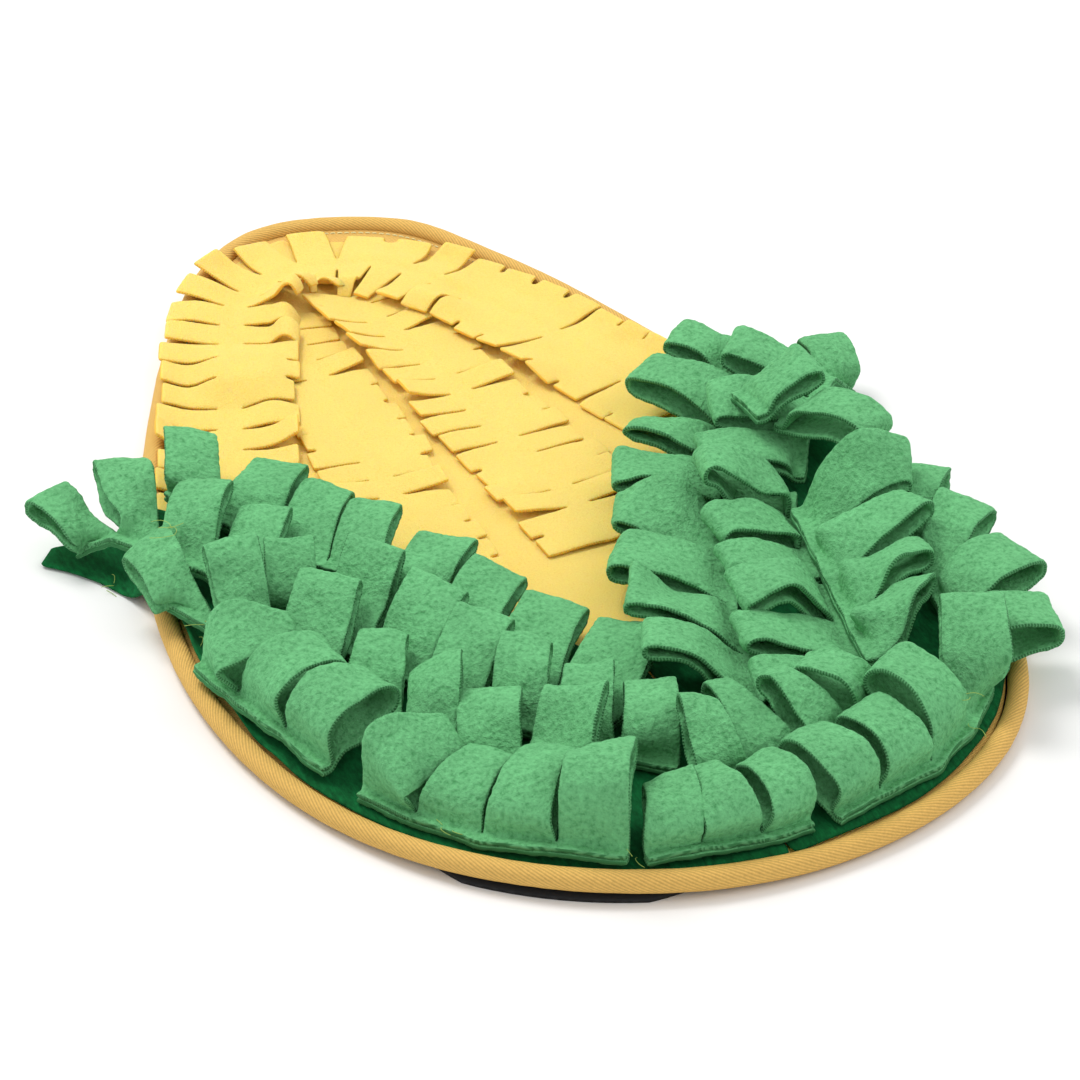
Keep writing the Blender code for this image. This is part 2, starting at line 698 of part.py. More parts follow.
def yellow_strip(name, strip, pile):
    """A strip sewn down along its middle, slit into fingers on both sides."""
    count, bends = strip["count"], len(strip["bends"])
    seam = smooth_path([Vector(p) * MM for p in strip["seam"]], count)
    thick = FRINGE_THICK
    clearance = GAP + thick / 2 + LAY_MARGIN
    normals, backs, fronts = [], [], []
    for i, flat in enumerate(seam):
        along = (seam[min(i + 1, count)] - seam[max(i - 1, 0)]).normalized()
        normals.append(Vector((-along.y, along.x)))
        backs.append(flat - normals[i] * (SPINE + SEAM_FRONT))
        fronts.append(flat + normals[i] * (SPINE + SEAM_FRONT))
    heights_at = seam_heights(pile, backs, fronts, clearance)
    table = {}
    for sign, side_name, root_row in ((1, "left", bends + 1), (-1, "right", bends + 2)):
        first, last = (length * MM - SPINE for length in strip[side_name])
        for i in range(count):
            length = first + (last - first) * i / (count - 1)
            places = (0,) + tuple(length * share for share in strip["bends"]) + (length,)
            ends = (i, i + 1) if sign > 0 else (i + 1, i)
            fences = [normals[end] * sign for end in ends]
            roots = [seam[end] + fence * SPINE for end, fence in zip(ends, fences)]
            lane = Lane(roots[0], roots[1], (fences[0] + fences[1]).normalized(),
                        (roots[0] - roots[1]).length / 2, places, fences)
            heights, tilts = lane.rest(pile, clearance, MAP_STEP)
            left, right = (heights_at[end] for end in ends)
            tilts = [(left - right) / (2 * lane.halves[0].length)] + tilts
            heights = [(left + right) / 2] + heights
            heights = lane.settle(pile, heights, tilts, clearance, (0,) * len(places))
            if i in strip["curled"]:
                heights[-1] += CURL
            for k in range(len(places)):
                for side in (0, 1):
                    where = (1 if side == 0 else -1) * sign
                    height = heights[k] + tilts[k] * lane.halves[k].length * where
                    table[i, side, root_row - sign * k] = point(lane.edge(k, where), height)
    rows = 2 * bends + 4
    pile.add_sheet(table, count, rows, thick / 2 + MAP_LIFT)
    slit_rows = [row for row in range(rows - 1) if row != bends + 1]
    return slit_sheet(name, count, rows, slit_rows, lambda *key: table[key], thick, "yellow")


def seam_points(loops):
    """Points of the seam between neighbouring loops, and at both ends."""
    roots = [Vector((x, y)) * MM for x, y, *_ in loops]
    if len(loops) == 1:
        heading, width = loops[0][2], loops[0][6] * MM
        side = heading_vector(heading - 90) * width / 2
        return [roots[0] - side, roots[0] + side]
    seams = [(a + b) / 2 for a, b in zip(roots, roots[1:])]
    seams.insert(0, roots[0] * 2 - seams[0])
    seams.append(roots[-1] * 2 - seams[-1])
    seams[0] = seams[0].lerp(roots[0], END_INSET)
    seams[-1] = seams[-1].lerp(roots[-1], END_INSET)
    return seams


def fence_between(loops, index):
    """Direction of the line between two neighbouring loops, none beyond the ends."""
    if index in (0, len(loops)):
        return None
    return (heading_vector(loops[index - 1][2]) + heading_vector(loops[index][2])).normalized()


def green_strip(name, loops, pile):
    """A folded strip: both raw edges sewn down together, its fold slit into loops."""
    count = len(loops)
    seams = seam_points(loops)
    thick = FLEECE_THICK
    clearance = GAP + thick / 2 + LAY_MARGIN
    # The row lies with its loops' tips to the left of the seam's run, or to the right of it.
    run = seams[-1] - seams[0]
    facing = heading_vector(loops[count // 2][2])
    turned = 1 if run.x * facing.y - run.y * facing.x > 0 else -1
    backs, fronts = [], []
    for i in range(count + 1):
        along = (seams[min(i + 1, count)] - seams[max(i - 1, 0)]).normalized()
        forward = Vector((-along.y, along.x)) * turned
        backs.append(seams[i] - forward * TAIL)
        fronts.append(seams[i] + forward * SEAM_FRONT)
    heights_at = seam_heights(pile, backs, fronts, clearance)
    table = {}
    last_row = 11
    for i in range(count):
        for side in (0, 1):
            height = heights_at[i + side]
            table[i, side, 0] = point(backs[i + side], height)
            table[i, side, 1] = point(seams[i + side], height)
            table[i, side, last_row] = point(backs[i + side], height + thick + GAP)
            table[i, side, last_row - 1] = point(seams[i + side], height + thick + GAP)
    for i, (x, y, heading, reach, rise, opening, width) in enumerate(loops):
        reach, rise, opening = reach * MM, rise * MM, opening * MM
        nose = (opening + thick) / 2
        flat_reach = max(reach - nose, 0.5 * reach)
        roots = [seams[i], seams[i + 1]]
        fences = [fence_between(loops, i), fence_between(loops, i + 1)]
        if turned < 0:
            roots.reverse()
            fences.reverse()
        places = (0, flat_reach * FIRST_BEND, flat_reach * SECOND_BEND, flat_reach)
        lane = Lane(roots[0], roots[1], heading_vector(heading), width * MM / 2, places, fences, nose)
        heights, tilts = lane.rest(pile, clearance, nose)
        start = (heights_at[i] + heights_at[i + 1]) / 2
        slope = (heights_at[i] - heights_at[i + 1]) * turned / (2 * lane.halves[0].length)
        least = [start + rise * (1 - (1 - place / flat_reach) ** 2) for place in places]
        heights = [max(pair) for pair in zip(heights, least[1:])]
        tilts = [slope] + tilts
        heights = lane.settle(pile, [start] + heights, tilts, clearance, least)
        arch = min(1.0, opening / ARCH_OPENING) ** 2
        first_open = opening * (OPEN_AT_FIRST + (ARCH_OPEN_AT_FIRST - OPEN_AT_FIRST) * arch)
        second_open = opening * (OPEN_AT_SECOND + (ARCH_OPEN_AT_SECOND - OPEN_AT_SECOND) * arch)
        back_places = (places[1] - ARCH_BACK * arch, places[2] - ARCH_BACK * arch)
        back = Lane(roots[0], roots[1], lane.direction, width * MM / 2, back_places, fences)
        nose_ahead = nose * math.cos(NOSE_TURN)
        nose_step = nose * math.sin(NOSE_TURN)
        sections = [
            (lane, 1, 0, heights[1]),
            (lane, 2, 0, heights[2]),
            (lane, 3, 0, heights[3]),
            (lane, 3, nose_ahead, heights[3] + nose - nose_step),
            (lane, 3, nose_ahead, heights[3] + nose + nose_step),
            (lane, 3, 0, heights[3] + 2 * nose),
            (back, 1, 0, heights[2] + thick + max(second_open, LEAST_OPEN_SECOND)),
            (back, 0, 0, heights[1] + thick + max(first_open, LEAST_OPEN_FIRST)),
        ]
        tilts_of = (tilts[1], tilts[2], tilts[3], tilts[3], tilts[3], tilts[3], tilts[2], tilts[1])
        for row, ((path, k, ahead, height), tilt) in enumerate(zip(sections, tilts_of), start=2):
            for side in (0, 1):
                is_left = (side == 0) == (turned > 0)
                where = 1 if is_left else -1
                flat = path.edge(k, where) + lane.direction * ahead
                table[i, side, row] = point(flat, height + tilt * path.halves[k].length * where)
    pile.add_sheet(table, count, last_row + 1, thick / 2 + MAP_LIFT)
    slit_rows = range(1, last_row - 1)
    return slit_sheet(name, count, last_row + 1, slit_rows, lambda *key: table[key], thick, "green")


def build():
    flat_panel("underside", outline(underside_inset), 0, UNDERSIDE_THICK, "black_grip")
    flat_panel("top_panel", outline(lambda angle: PANEL_INSET), UNDERSIDE_THICK + GAP, PANEL_THICK, "panel")
    edge_roll()
    pile = Pile()
    map_pad(pile)
    for name, strip in YELLOW_STRIPS.items():
        yellow_strip(name, strip, pile)
    for name, sections in LEAVES.items():
        felt_leaf(name, sections, pile)
    for name, loops in GREEN_STRIPS.items():
        green_strip(name, loops, pile)


for old in list(bpy.data.objects):
    bpy.data.objects.remove(old, do_unlink=True)
parts = bpy.data.collections.new("snuffle_mat")
bpy.context.scene.collection.children.link(parts)
build()
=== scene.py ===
"""Look of the snuffle mat: the same strips as the frame's, laid by the same rule, as soft cloth.

A corn-cob shaped pad with a rolled twill edge, slit yellow fleece strips, felt leaves, and rows of
folded, slit green fleece.  Metres, +Z up, the cob's tip towards +Y.
"""

import math

import bmesh
import bpy
import numpy as np
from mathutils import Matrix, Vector, noise


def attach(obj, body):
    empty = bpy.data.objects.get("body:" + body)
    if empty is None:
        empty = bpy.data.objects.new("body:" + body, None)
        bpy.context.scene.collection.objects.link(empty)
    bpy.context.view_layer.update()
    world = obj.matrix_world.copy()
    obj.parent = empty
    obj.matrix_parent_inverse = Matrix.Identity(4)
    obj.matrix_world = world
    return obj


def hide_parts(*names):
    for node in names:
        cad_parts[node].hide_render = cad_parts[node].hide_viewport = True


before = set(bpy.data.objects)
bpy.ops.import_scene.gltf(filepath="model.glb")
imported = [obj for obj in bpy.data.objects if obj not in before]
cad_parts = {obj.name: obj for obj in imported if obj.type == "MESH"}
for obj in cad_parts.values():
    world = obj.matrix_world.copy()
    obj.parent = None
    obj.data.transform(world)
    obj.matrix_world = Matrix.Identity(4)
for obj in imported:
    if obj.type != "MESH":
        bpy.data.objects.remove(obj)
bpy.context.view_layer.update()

# Camera, as it stood for the photograph.
CAMERA_AT = (-0.5657, -1.3199, 0.9014)
CAMERA_LOOKS_AT = (0.0055, -0.0224, 0.0)
CAMERA_LENS = 130.3           # for a sensor 36 mm wide

# Colours of the cloths, linear.
YELLOW = (0.945, 0.65, 0.168)
# Painted shade: the yellow fleece's darkest nap tone in its hollows, and the lighter stripes of its cut
# edges, deeper and more orange than its face.
YELLOW_SHADE = (0.94, 0.595, 0.12)
# Painted shade: the darkest stripes of the yellow cut edges, orange like the shade in the slits between
# fingers.
YELLOW_EDGE_SHADE = (0.90, 0.50, 0.07)
GREEN = (0.142, 0.45, 0.19)
# Painted shade: the green fleece's darkest nap tone in its hollows, and darker still on its cut edges as
# their shadowed outline.
GREEN_SHADE = (0.070, 0.30, 0.105)
MUSTARD = (0.80, 0.49, 0.125)
FELT = (0.004, 0.115, 0.03)
GRIP = (0.022, 0.022, 0.023)
GRIP_DEEP = (0.010, 0.010, 0.011)
THREAD = (0.80, 0.74, 0.38)
LOOSE_THREAD = (0.36, 0.52, 0.12)
YELLOW_SPREAD = (0.005, 0.0022, 0.0003)    # how far each colour of light goes inside it, in m

MM = 0.001
GAP = 0.3 * MM                # left between pieces that touch

# Outline of the pad, seen from above.
COB_LENGTH = 565 * MM
COB_WIDTH_TERMS = (164.8 * MM, -54.2 * MM, 9.1 * MM, 1.4 * MM)   # half width: cosine terms
COB_BEND_TERMS = (2.8 * MM, 4.2 * MM, 11.1 * MM)                 # sideways bend: cosine terms
TIP_BULGE = 6 * MM            # the far right shoulder of the tip is pushed out
TIP_BULGE_AT = math.radians(25)
TIP_BULGE_SPAN = math.radians(13)
OUTLINE_STEPS = 52

# Pad.
UNDERSIDE_THICK = 2.0 * MM
PANEL_THICK = 2.5 * MM
PANEL_TOP = UNDERSIDE_THICK + GAP + PANEL_THICK
ROLL_RADIUS = 4.5 * MM
ROLL_HEIGHT = 5.0 * MM        # of the roll's middle above the floor
ROLL_LIFT = 3.0 * MM          # at the front left, where the underside shows
ROLL_LIFT_AT = math.radians(205)
ROLL_LIFT_SPAN = math.radians(32)
UNDERSIDE_INSET = 8.6 * MM    # from the outline
UNDERSIDE_SHOWN_INSET = 1.2 * MM
SHOWN_FROM = 0.55             # share of the lift where the underside starts to come out, and
SHOWN_FULLY = 0.8             # where it is wholly out
PANEL_INSET = 9.6 * MM

# Cloth.
FELT_THICK = 1.8 * MM
FLEECE_THICK = 2.3 * MM
FRINGE_THICK = 2.0 * MM
TAIL = 5 * MM                 # sewn edge of a folded strip, outside its seam
CURL = 4 * MM                 # height of a raised finger tip
SPINE = 5 * MM                # half width of the unslit middle of a yellow strip
EDGE_CLEARANCE = 2 * MM       # cloth draped over the roll
LAY_MARGIN = 0.45 * MM        # for the slope of a layer that lies on another
FLEECE_CLEARANCE = GAP + FLEECE_THICK / 2 + LAY_MARGIN
STEEPEST_SLOPE = 0.4          # of cloth over the edge of what it lies on
END_INSET = 0.2               # of half a loop's width, at both ends of a strip
SLIT_HALF = 0.6 * MM          # half the least width of a slit
SEAM_FRONT = 3 * MM           # how far from its seam a strip keeps the seam's height
RAISE_TURNS = 8               # turns of raising and lowering a loop onto the pile
LOWER_TURNS = 3

# Folds of a green loop, as shares of the flat part of its reach, and how far it opens there.
FIRST_BEND = 0.22
SECOND_BEND = 0.6
OPEN_AT_FIRST = 0.35          # of the opening inside its nose
OPEN_AT_SECOND = 0.85
LEAST_OPEN_FIRST = 0.6 * MM
LEAST_OPEN_SECOND = 1.0 * MM
LOOP_PLAN_ROWS = 12           # sewn edge, seam, eight sections round the loop, seam, sewn edge
NOSE_TURN = math.radians(30)  # of the two folds of its rounded nose, above and below the middle

# A loop that opens this far stands as a full arch: steeper, and bulging back over its sewn edge.
ARCH_OPENING = 10 * MM
ARCH_BACK = 7 * MM
ARCH_OPEN_AT_FIRST = 0.75
ARCH_OPEN_AT_SECOND = 1.1

# Height map of what has been laid so far.
MAP_STEP = 1.0 * MM
MAP_HALF_X = 240 * MM
MAP_HALF_Y = 330 * MM
MAP_LIFT = 0.2 * MM           # entered above each sheet's own top


# Felt leaves: outer_x, outer_y, inner_x, inner_y in mm, from the base to the pointed tip.
LEAVES = {
    "felt_leaf_left": (
        (-1, -272, 1, -136),
        (-58, -261, -14, -116),
        (-102, -234, -28, -92),
        (-134, -195, -42, -70),
        (-154, -151, -56, -50),
        (-163, -106, -72, -28),
        (-164, -65, -90, -8),
        (-161, -36, -108, 12),
        (-166, -12, -126, 28),
        (-173, 10, -146, 42),
        (-183, 28, -166, 51),
        (-197, 44, -190, 53),
    ),
    "felt_leaf_right": (
        (1, -272, 3, -136),
        (60, -260, 17, -116),
        (104, -233, 28, -90),
        (134, -197, 42, -66),
        (150, -153, 57, -44),
        (150, -110, 73, -20),
        (150, -72, 91, 2),
        (160, -52, 108, 20),
        (168, -30, 126, 35),
        (173, 2, 145, 49),
        (182, 34, 166, 61),
        (198, 60, 190, 68),
    ),
}
LEAF_CELLS = 6                # across a leaf
LEAF_SECTIONS = 26            # along it
RELAX_TURNS = 12
FELT_DROP = 30 * MM           # more than any cell needs to be lowered

# Yellow strips: seam points in mm from end to end; count: fingers on each side;
# left, right: length in mm of the first and of the last finger on that side of the seam;
# curled: fingers with raised tips;
# bends: where a finger bends, as shares of its length.
YELLOW_STRIPS = {
    "yellow_strip_left": dict(
        seam=((-48, -52), (-46, -8), (-43, 36), (-38, 78), (-36, 118), (-36, 160), (-30, 196)),
        count=16, left=(30, 26), right=(33, 24), curled=(5, 12), bends=()),
    "yellow_strip_right": dict(
        seam=((29, -44), (27, 2), (22, 48), (19, 92), (16, 132), (9, 170), (5, 205)),
        count=16, left=(32, 27), right=(40, 26), curled=(2, 9, 13), bends=()),
    "yellow_strip_outer": dict(
        seam=((-117, 22), (-100, 74), (-84, 120), (-66, 168), (-46, 212), (-12, 236),
              (26, 224), (50, 190), (70, 152), (84, 110), (97, 70), (106, 44)),
        count=27, left=(34, 31), right=(31, 35),
        curled=(4, 9, 11, 12, 14, 17), bends=(0.5,)),
}

# Green strips: one line for each loop, in order along its seam, in mm and degrees.
# x, y: middle of its root; heading: 0 to the right, 90 to the tip; reach: root to nose;
# rise: nose above root; open: height inside the nose; width.
# The strips are laid in this order, so that each lies over the roots of the one before.
GREEN_STRIPS = {
    # left leaf, from the cob outwards
    "left_row_1_upper": (
        (-131, 38, 74, 42, 6, 4, 24),
        (-118, 10, 48, 42, 4, 3, 27),
        (-102, -17, 46, 42, 4, 3, 28),
        (-87, -41, 50, 40, 5, 4, 26),
    ),
    "left_row_1_lower": (
        (-75, -67, 45, 42, 4, 3, 28),
        (-62, -96, 42, 42, 4, 3, 27),
        (-48, -127, 46, 44, 4, 3, 31),
        (-32, -160, 45, 48, 6, 3, 34),
    ),
    "left_row_2_upper": (
        (-175, 32, 122, 32, 8, 5, 26),
        (-163, 14, 84, 38, 12, 6, 24),
        (-150, -6, 56, 40, 10, 4, 27),
        (-134, -30, 56, 42, 8, 3, 28),
    ),
    "left_row_2_middle": (
        (-121, -55, 72, 27, 8, 10, 24),
        (-108, -80, 46, 40, 8, 4, 28),
        (-94, -106, 44, 42, 8, 3, 28),
        (-80, -132, 45, 42, 8, 3, 28),
    ),
    "left_row_2_lower": (
        (-64, -158, 55, 34, 10, 6, 24),
        (-48, -183, 62, 32, 10, 6, 24),
        (-26, -202, 70, 30, 8, 9, 24),
    ),
    "left_row_3_upper": (
        (-160, -40, 100, 34, 10, 5, 26),
        (-147, -70, 84, 34, 10, 5, 25),
        (-130, -99, 52, 42, 10, 5, 29),
    ),
    "left_row_3_lower": (
        (-114, -130, 60, 36, 10, 6, 27),
        (-101, -158, 70, 34, 10, 6, 25),
        (-88, -184, 62, 34, 10, 5, 26),
        (-70, -208, 50, 40, 10, 5, 29),
    ),
    # right leaf: two rows towards the cob, two outwards
    "right_row_1_upper": (
        (129, 36, 128, 34, 5, 4, 26),
        (113, 17, 126, 44, 4, 7, 27),
        (97, -9, 140, 40, 4, 3, 27),
        (80, -37, 150, 42, 4, 3, 29),
    ),
    "right_row_1_lower": (
        (66, -67, 148, 42, 4, 3, 29),
        (53, -99, 143, 44, 5, 4, 33),
        (43, -134, 150, 44, 4, 3, 34),
        (34, -171, 155, 44, 4, 3, 32),
    ),
    "right_row_4_upper": (
        (142, -104, 62, 32, 8, 8, 26),
        (137, -130, 34, 38, 8, 6, 26),
        (130, -158, 10, 40, 8, 8, 32),
        (121, -190, -14, 36, 8, 9, 28),
    ),
    "right_row_2_upper": (
        (172, 22, 84, 26, 6, 5, 22),
        (154, 12, 134, 42, 6, 6, 22),
        (138, -10, 163, 42, 6, 4, 27),
        (123, -33, 166, 44, 6, 3, 28),
    ),
    "right_row_2_middle": (
        (106, -57, 168, 40, 6, 9, 24),
        (97, -80, 184, 38, 6, 6, 24),
        (91, -104, 178, 38, 6, 4, 25),
    ),
    "right_row_2_lower": (
        (86, -131, 174, 40, 6, 4, 28),
        (79, -162, 170, 44, 6, 4, 32),
        (71, -193, 168, 44, 6, 4, 28),
    ),
    # front, and the outermost row of the left leaf
    "front_row_1": (
        (61, -213, 134, 28, 6, 8, 24),
        (42, -226, 116, 30, 6, 8, 24),
        (14, -226, 97, 46, 8, 7, 27),
        (-9, -229, 80, 28, 8, 9, 22),
    ),
    "front_row_3": (
        (3, -263, 104, 26, 7, 10, 24),
        (-21, -263, 88, 27, 8, 11, 25),
        (-46, -260, 70, 27, 7, 9, 24),
    ),
    "left_row_4_upper": (
        (-164, -88, -12, 32, 8, 12, 30),
        (-157, -118, 4, 33, 8, 12, 28),
        (-147, -148, 18, 36, 8, 12, 28),
    ),
    "left_row_4_lower": (
        (-131, -186, 12, 34, 8, 10, 26),
        (-116, -211, 44, 34, 7, 8, 27),
        (-96, -232, 40, 38, 8, 11, 28),
        (-71, -250, 56, 36, 8, 9, 28),
    ),
    "right_bent_loop": ((127, -24, -62, 42, 5, 8, 24),),
    "right_row_3": (
        (103, -84, -12, 46, 5, 5, 30),
        (96, -115, 16, 46, 6, 7, 28),
        (90, -145, 6, 44, 6, 7, 28),
        (84, -174, 36, 38, 6, 7, 26),
    ),
    "front_row_2": (
        (108, -220, 66, 33, 9, 11, 28),
        (86, -243, 122, 34, 10, 14, 30),
        (58, -253, 106, 28, 8, 10, 25),
        (32, -260, 112, 29, 8, 12, 25),
    ),
    # a loop thrown back over the rest
    "right_tube": ((110, -16, 5, 30, 2, 5, 24),),
}


def cosine_sum(terms, angle):
    return sum(term * math.cos(order * angle) for order, term in enumerate(terms))


def outline_point(angle):
    """Point of the pad's outline; angle 0 is the tip, and it runs clockwise seen from above."""
    bulge = TIP_BULGE * math.exp(-((angle - TIP_BULGE_AT) / TIP_BULGE_SPAN) ** 2)
    half_width = math.sin(angle) * cosine_sum(COB_WIDTH_TERMS, angle)
    bend = math.sin(angle) ** 2 * cosine_sum(COB_BEND_TERMS, angle)
    return Vector((half_width + bend + bulge, COB_LENGTH / 2 * math.cos(angle) + bulge / 2))


def lift_share(angle):
    """How far the roll is lifted off the floor, 0 to 1."""
    off = abs(angle % (2 * math.pi) - ROLL_LIFT_AT)
    return math.cos(off / ROLL_LIFT_SPAN * math.pi / 2) ** 2 if off < ROLL_LIFT_SPAN else 0.0


def roll_height(angle):
    return ROLL_HEIGHT + ROLL_LIFT * lift_share(angle)


def underside_inset(angle):
    shown = (lift_share(angle) - SHOWN_FROM) / (SHOWN_FULLY - SHOWN_FROM)
    shown = min(1.0, max(0.0, shown))
    return UNDERSIDE_INSET + (UNDERSIDE_SHOWN_INSET - UNDERSIDE_INSET) * shown


def outline(inset_at, steps=OUTLINE_STEPS):
    """Closed outline drawn in by a distance that depends on the angle."""
    ring = [outline_point(2 * math.pi * i / steps) for i in range(steps)]
    points = []
    for i in range(steps):
        along = (ring[(i + 1) % steps] - ring[i - 1]).normalized()
        points.append(ring[i] + Vector((along.y, -along.x)) * inset_at(2 * math.pi * i / steps))
    return points


def smooth_path(points, count):
    """count + 1 points evenly spaced along a Catmull-Rom curve through the given ones."""
    ends = [2 * points[0] - points[1]] + list(points) + [2 * points[-1] - points[-2]]
    fine = []
    for i in range(1, len(ends) - 2):
        before, start, stop, after = ends[i - 1:i + 3]
        for step in range(20):
            t = step / 20
            fine.append(0.5 * (2 * start + (stop - before) * t
                               + (2 * before - 5 * start + 4 * stop - after) * t ** 2
                               + (3 * start - before - 3 * stop + after) * t ** 3))
    fine.append(points[-1])
    lengths = [0.0]
    for a, b in zip(fine, fine[1:]):
        lengths.append(lengths[-1] + (b - a).length)
    even = []
    for i in range(count + 1):
        target = lengths[-1] * i / count
        k = min(max(int(np.searchsorted(lengths, target)), 1), len(fine) - 1)
        share = (target - lengths[k - 1]) / max(lengths[k] - lengths[k - 1], 1e-9)
        even.append(fine[k - 1].lerp(fine[k], share))
    return even


def heading_vector(degrees):
    return Vector((math.cos(math.radians(degrees)), math.sin(math.radians(degrees))))


def twist(a, b, c, d):
    """How far the fold across a four-cornered patch stands off its smooth surface."""
    return abs(a - b - c + d) / 4


def bulge(u, v):
    """Share of the twist at a place in the patch, 1 in its middle."""
    return 16 * u * (1 - u) * v * (1 - v)


class Pile:
    """Height of the top of everything laid so far, on a square grid.

    drape is the same height with its steps eased to the slope that cloth lies at over an edge.
    """

    def __init__(self):
        size = (int(2 * MAP_HALF_X / MAP_STEP), int(2 * MAP_HALF_Y / MAP_STEP))
        self.top = np.zeros(size)
        self.drape = self.top

    def ease(self, reaches=(1, 2, 4)):
        """Work out drape from top; reaches, in cells, add up to how far a step is eased."""
        eased = self.top.copy()
        for reach in reaches:
            for di, dj in ((1, 0), (0, 1), (1, 1), (1, -1)):
                drop = STEEPEST_SLOPE * MAP_STEP * reach * math.hypot(di, dj)
                for sign in (1, -1):
                    shift = (di * reach * sign, dj * reach * sign)
                    eased = np.maximum(eased, np.roll(eased, shift, (0, 1)) - drop)
        self.drape = eased

    def cells(self, x, y):
        i = np.clip(((x + MAP_HALF_X) / MAP_STEP).astype(int), 1, self.top.shape[0] - 2)
        j = np.clip(((y + MAP_HALF_Y) / MAP_STEP).astype(int), 1, self.top.shape[1] - 2)
        return i, j

    def read_drape(self, x, y):
        return self.drape[self.cells(x, y)]

    def read(self, x, y):
        i, j = self.cells(x, y)
        height = self.top[i, j]
        for di, dj in ((1, 0), (-1, 0), (0, 1), (0, -1)):
            height = np.maximum(height, self.top[i + di, j + dj])
        return height

    def add_patch(self, near_left, near_right, far_left, far_right, lift):
        """Raise the map to a bilinear patch, lifted by half the cloth's thickness."""
        corners = [np.array(p) for p in (near_left, near_right, far_left, far_right)]
        across = max(np.linalg.norm(corners[1] - corners[0]), np.linalg.norm(corners[3] - corners[2]))
        along = max(np.linalg.norm(corners[2] - corners[0]), np.linalg.norm(corners[3] - corners[1]))
        u = np.linspace(0, 1, int(across / MAP_STEP * 1.6) + 2)[None, :, None]
        v = np.linspace(0, 1, int(along / MAP_STEP * 1.6) + 2)[:, None, None]
        points = ((1 - v) * ((1 - u) * corners[0] + u * corners[1])
                  + v * ((1 - u) * corners[2] + u * corners[3]))
        crease = twist(corners[0][2], corners[1][2], corners[2][2], corners[3][2]) * bulge(u, v)[..., 0]
        i, j = self.cells(points[..., 0], points[..., 1])
        np.maximum.at(self.top, (i, j), points[..., 2] + crease + lift)

    def add_sheet(self, table, cells, rows, lift):
        for cell in range(cells):
            for row in range(rows - 1):
                self.add_patch(table[cell, 0, row], table[cell, 1, row],
                               table[cell, 0, row + 1], table[cell, 1, row + 1], lift)
        self.ease()


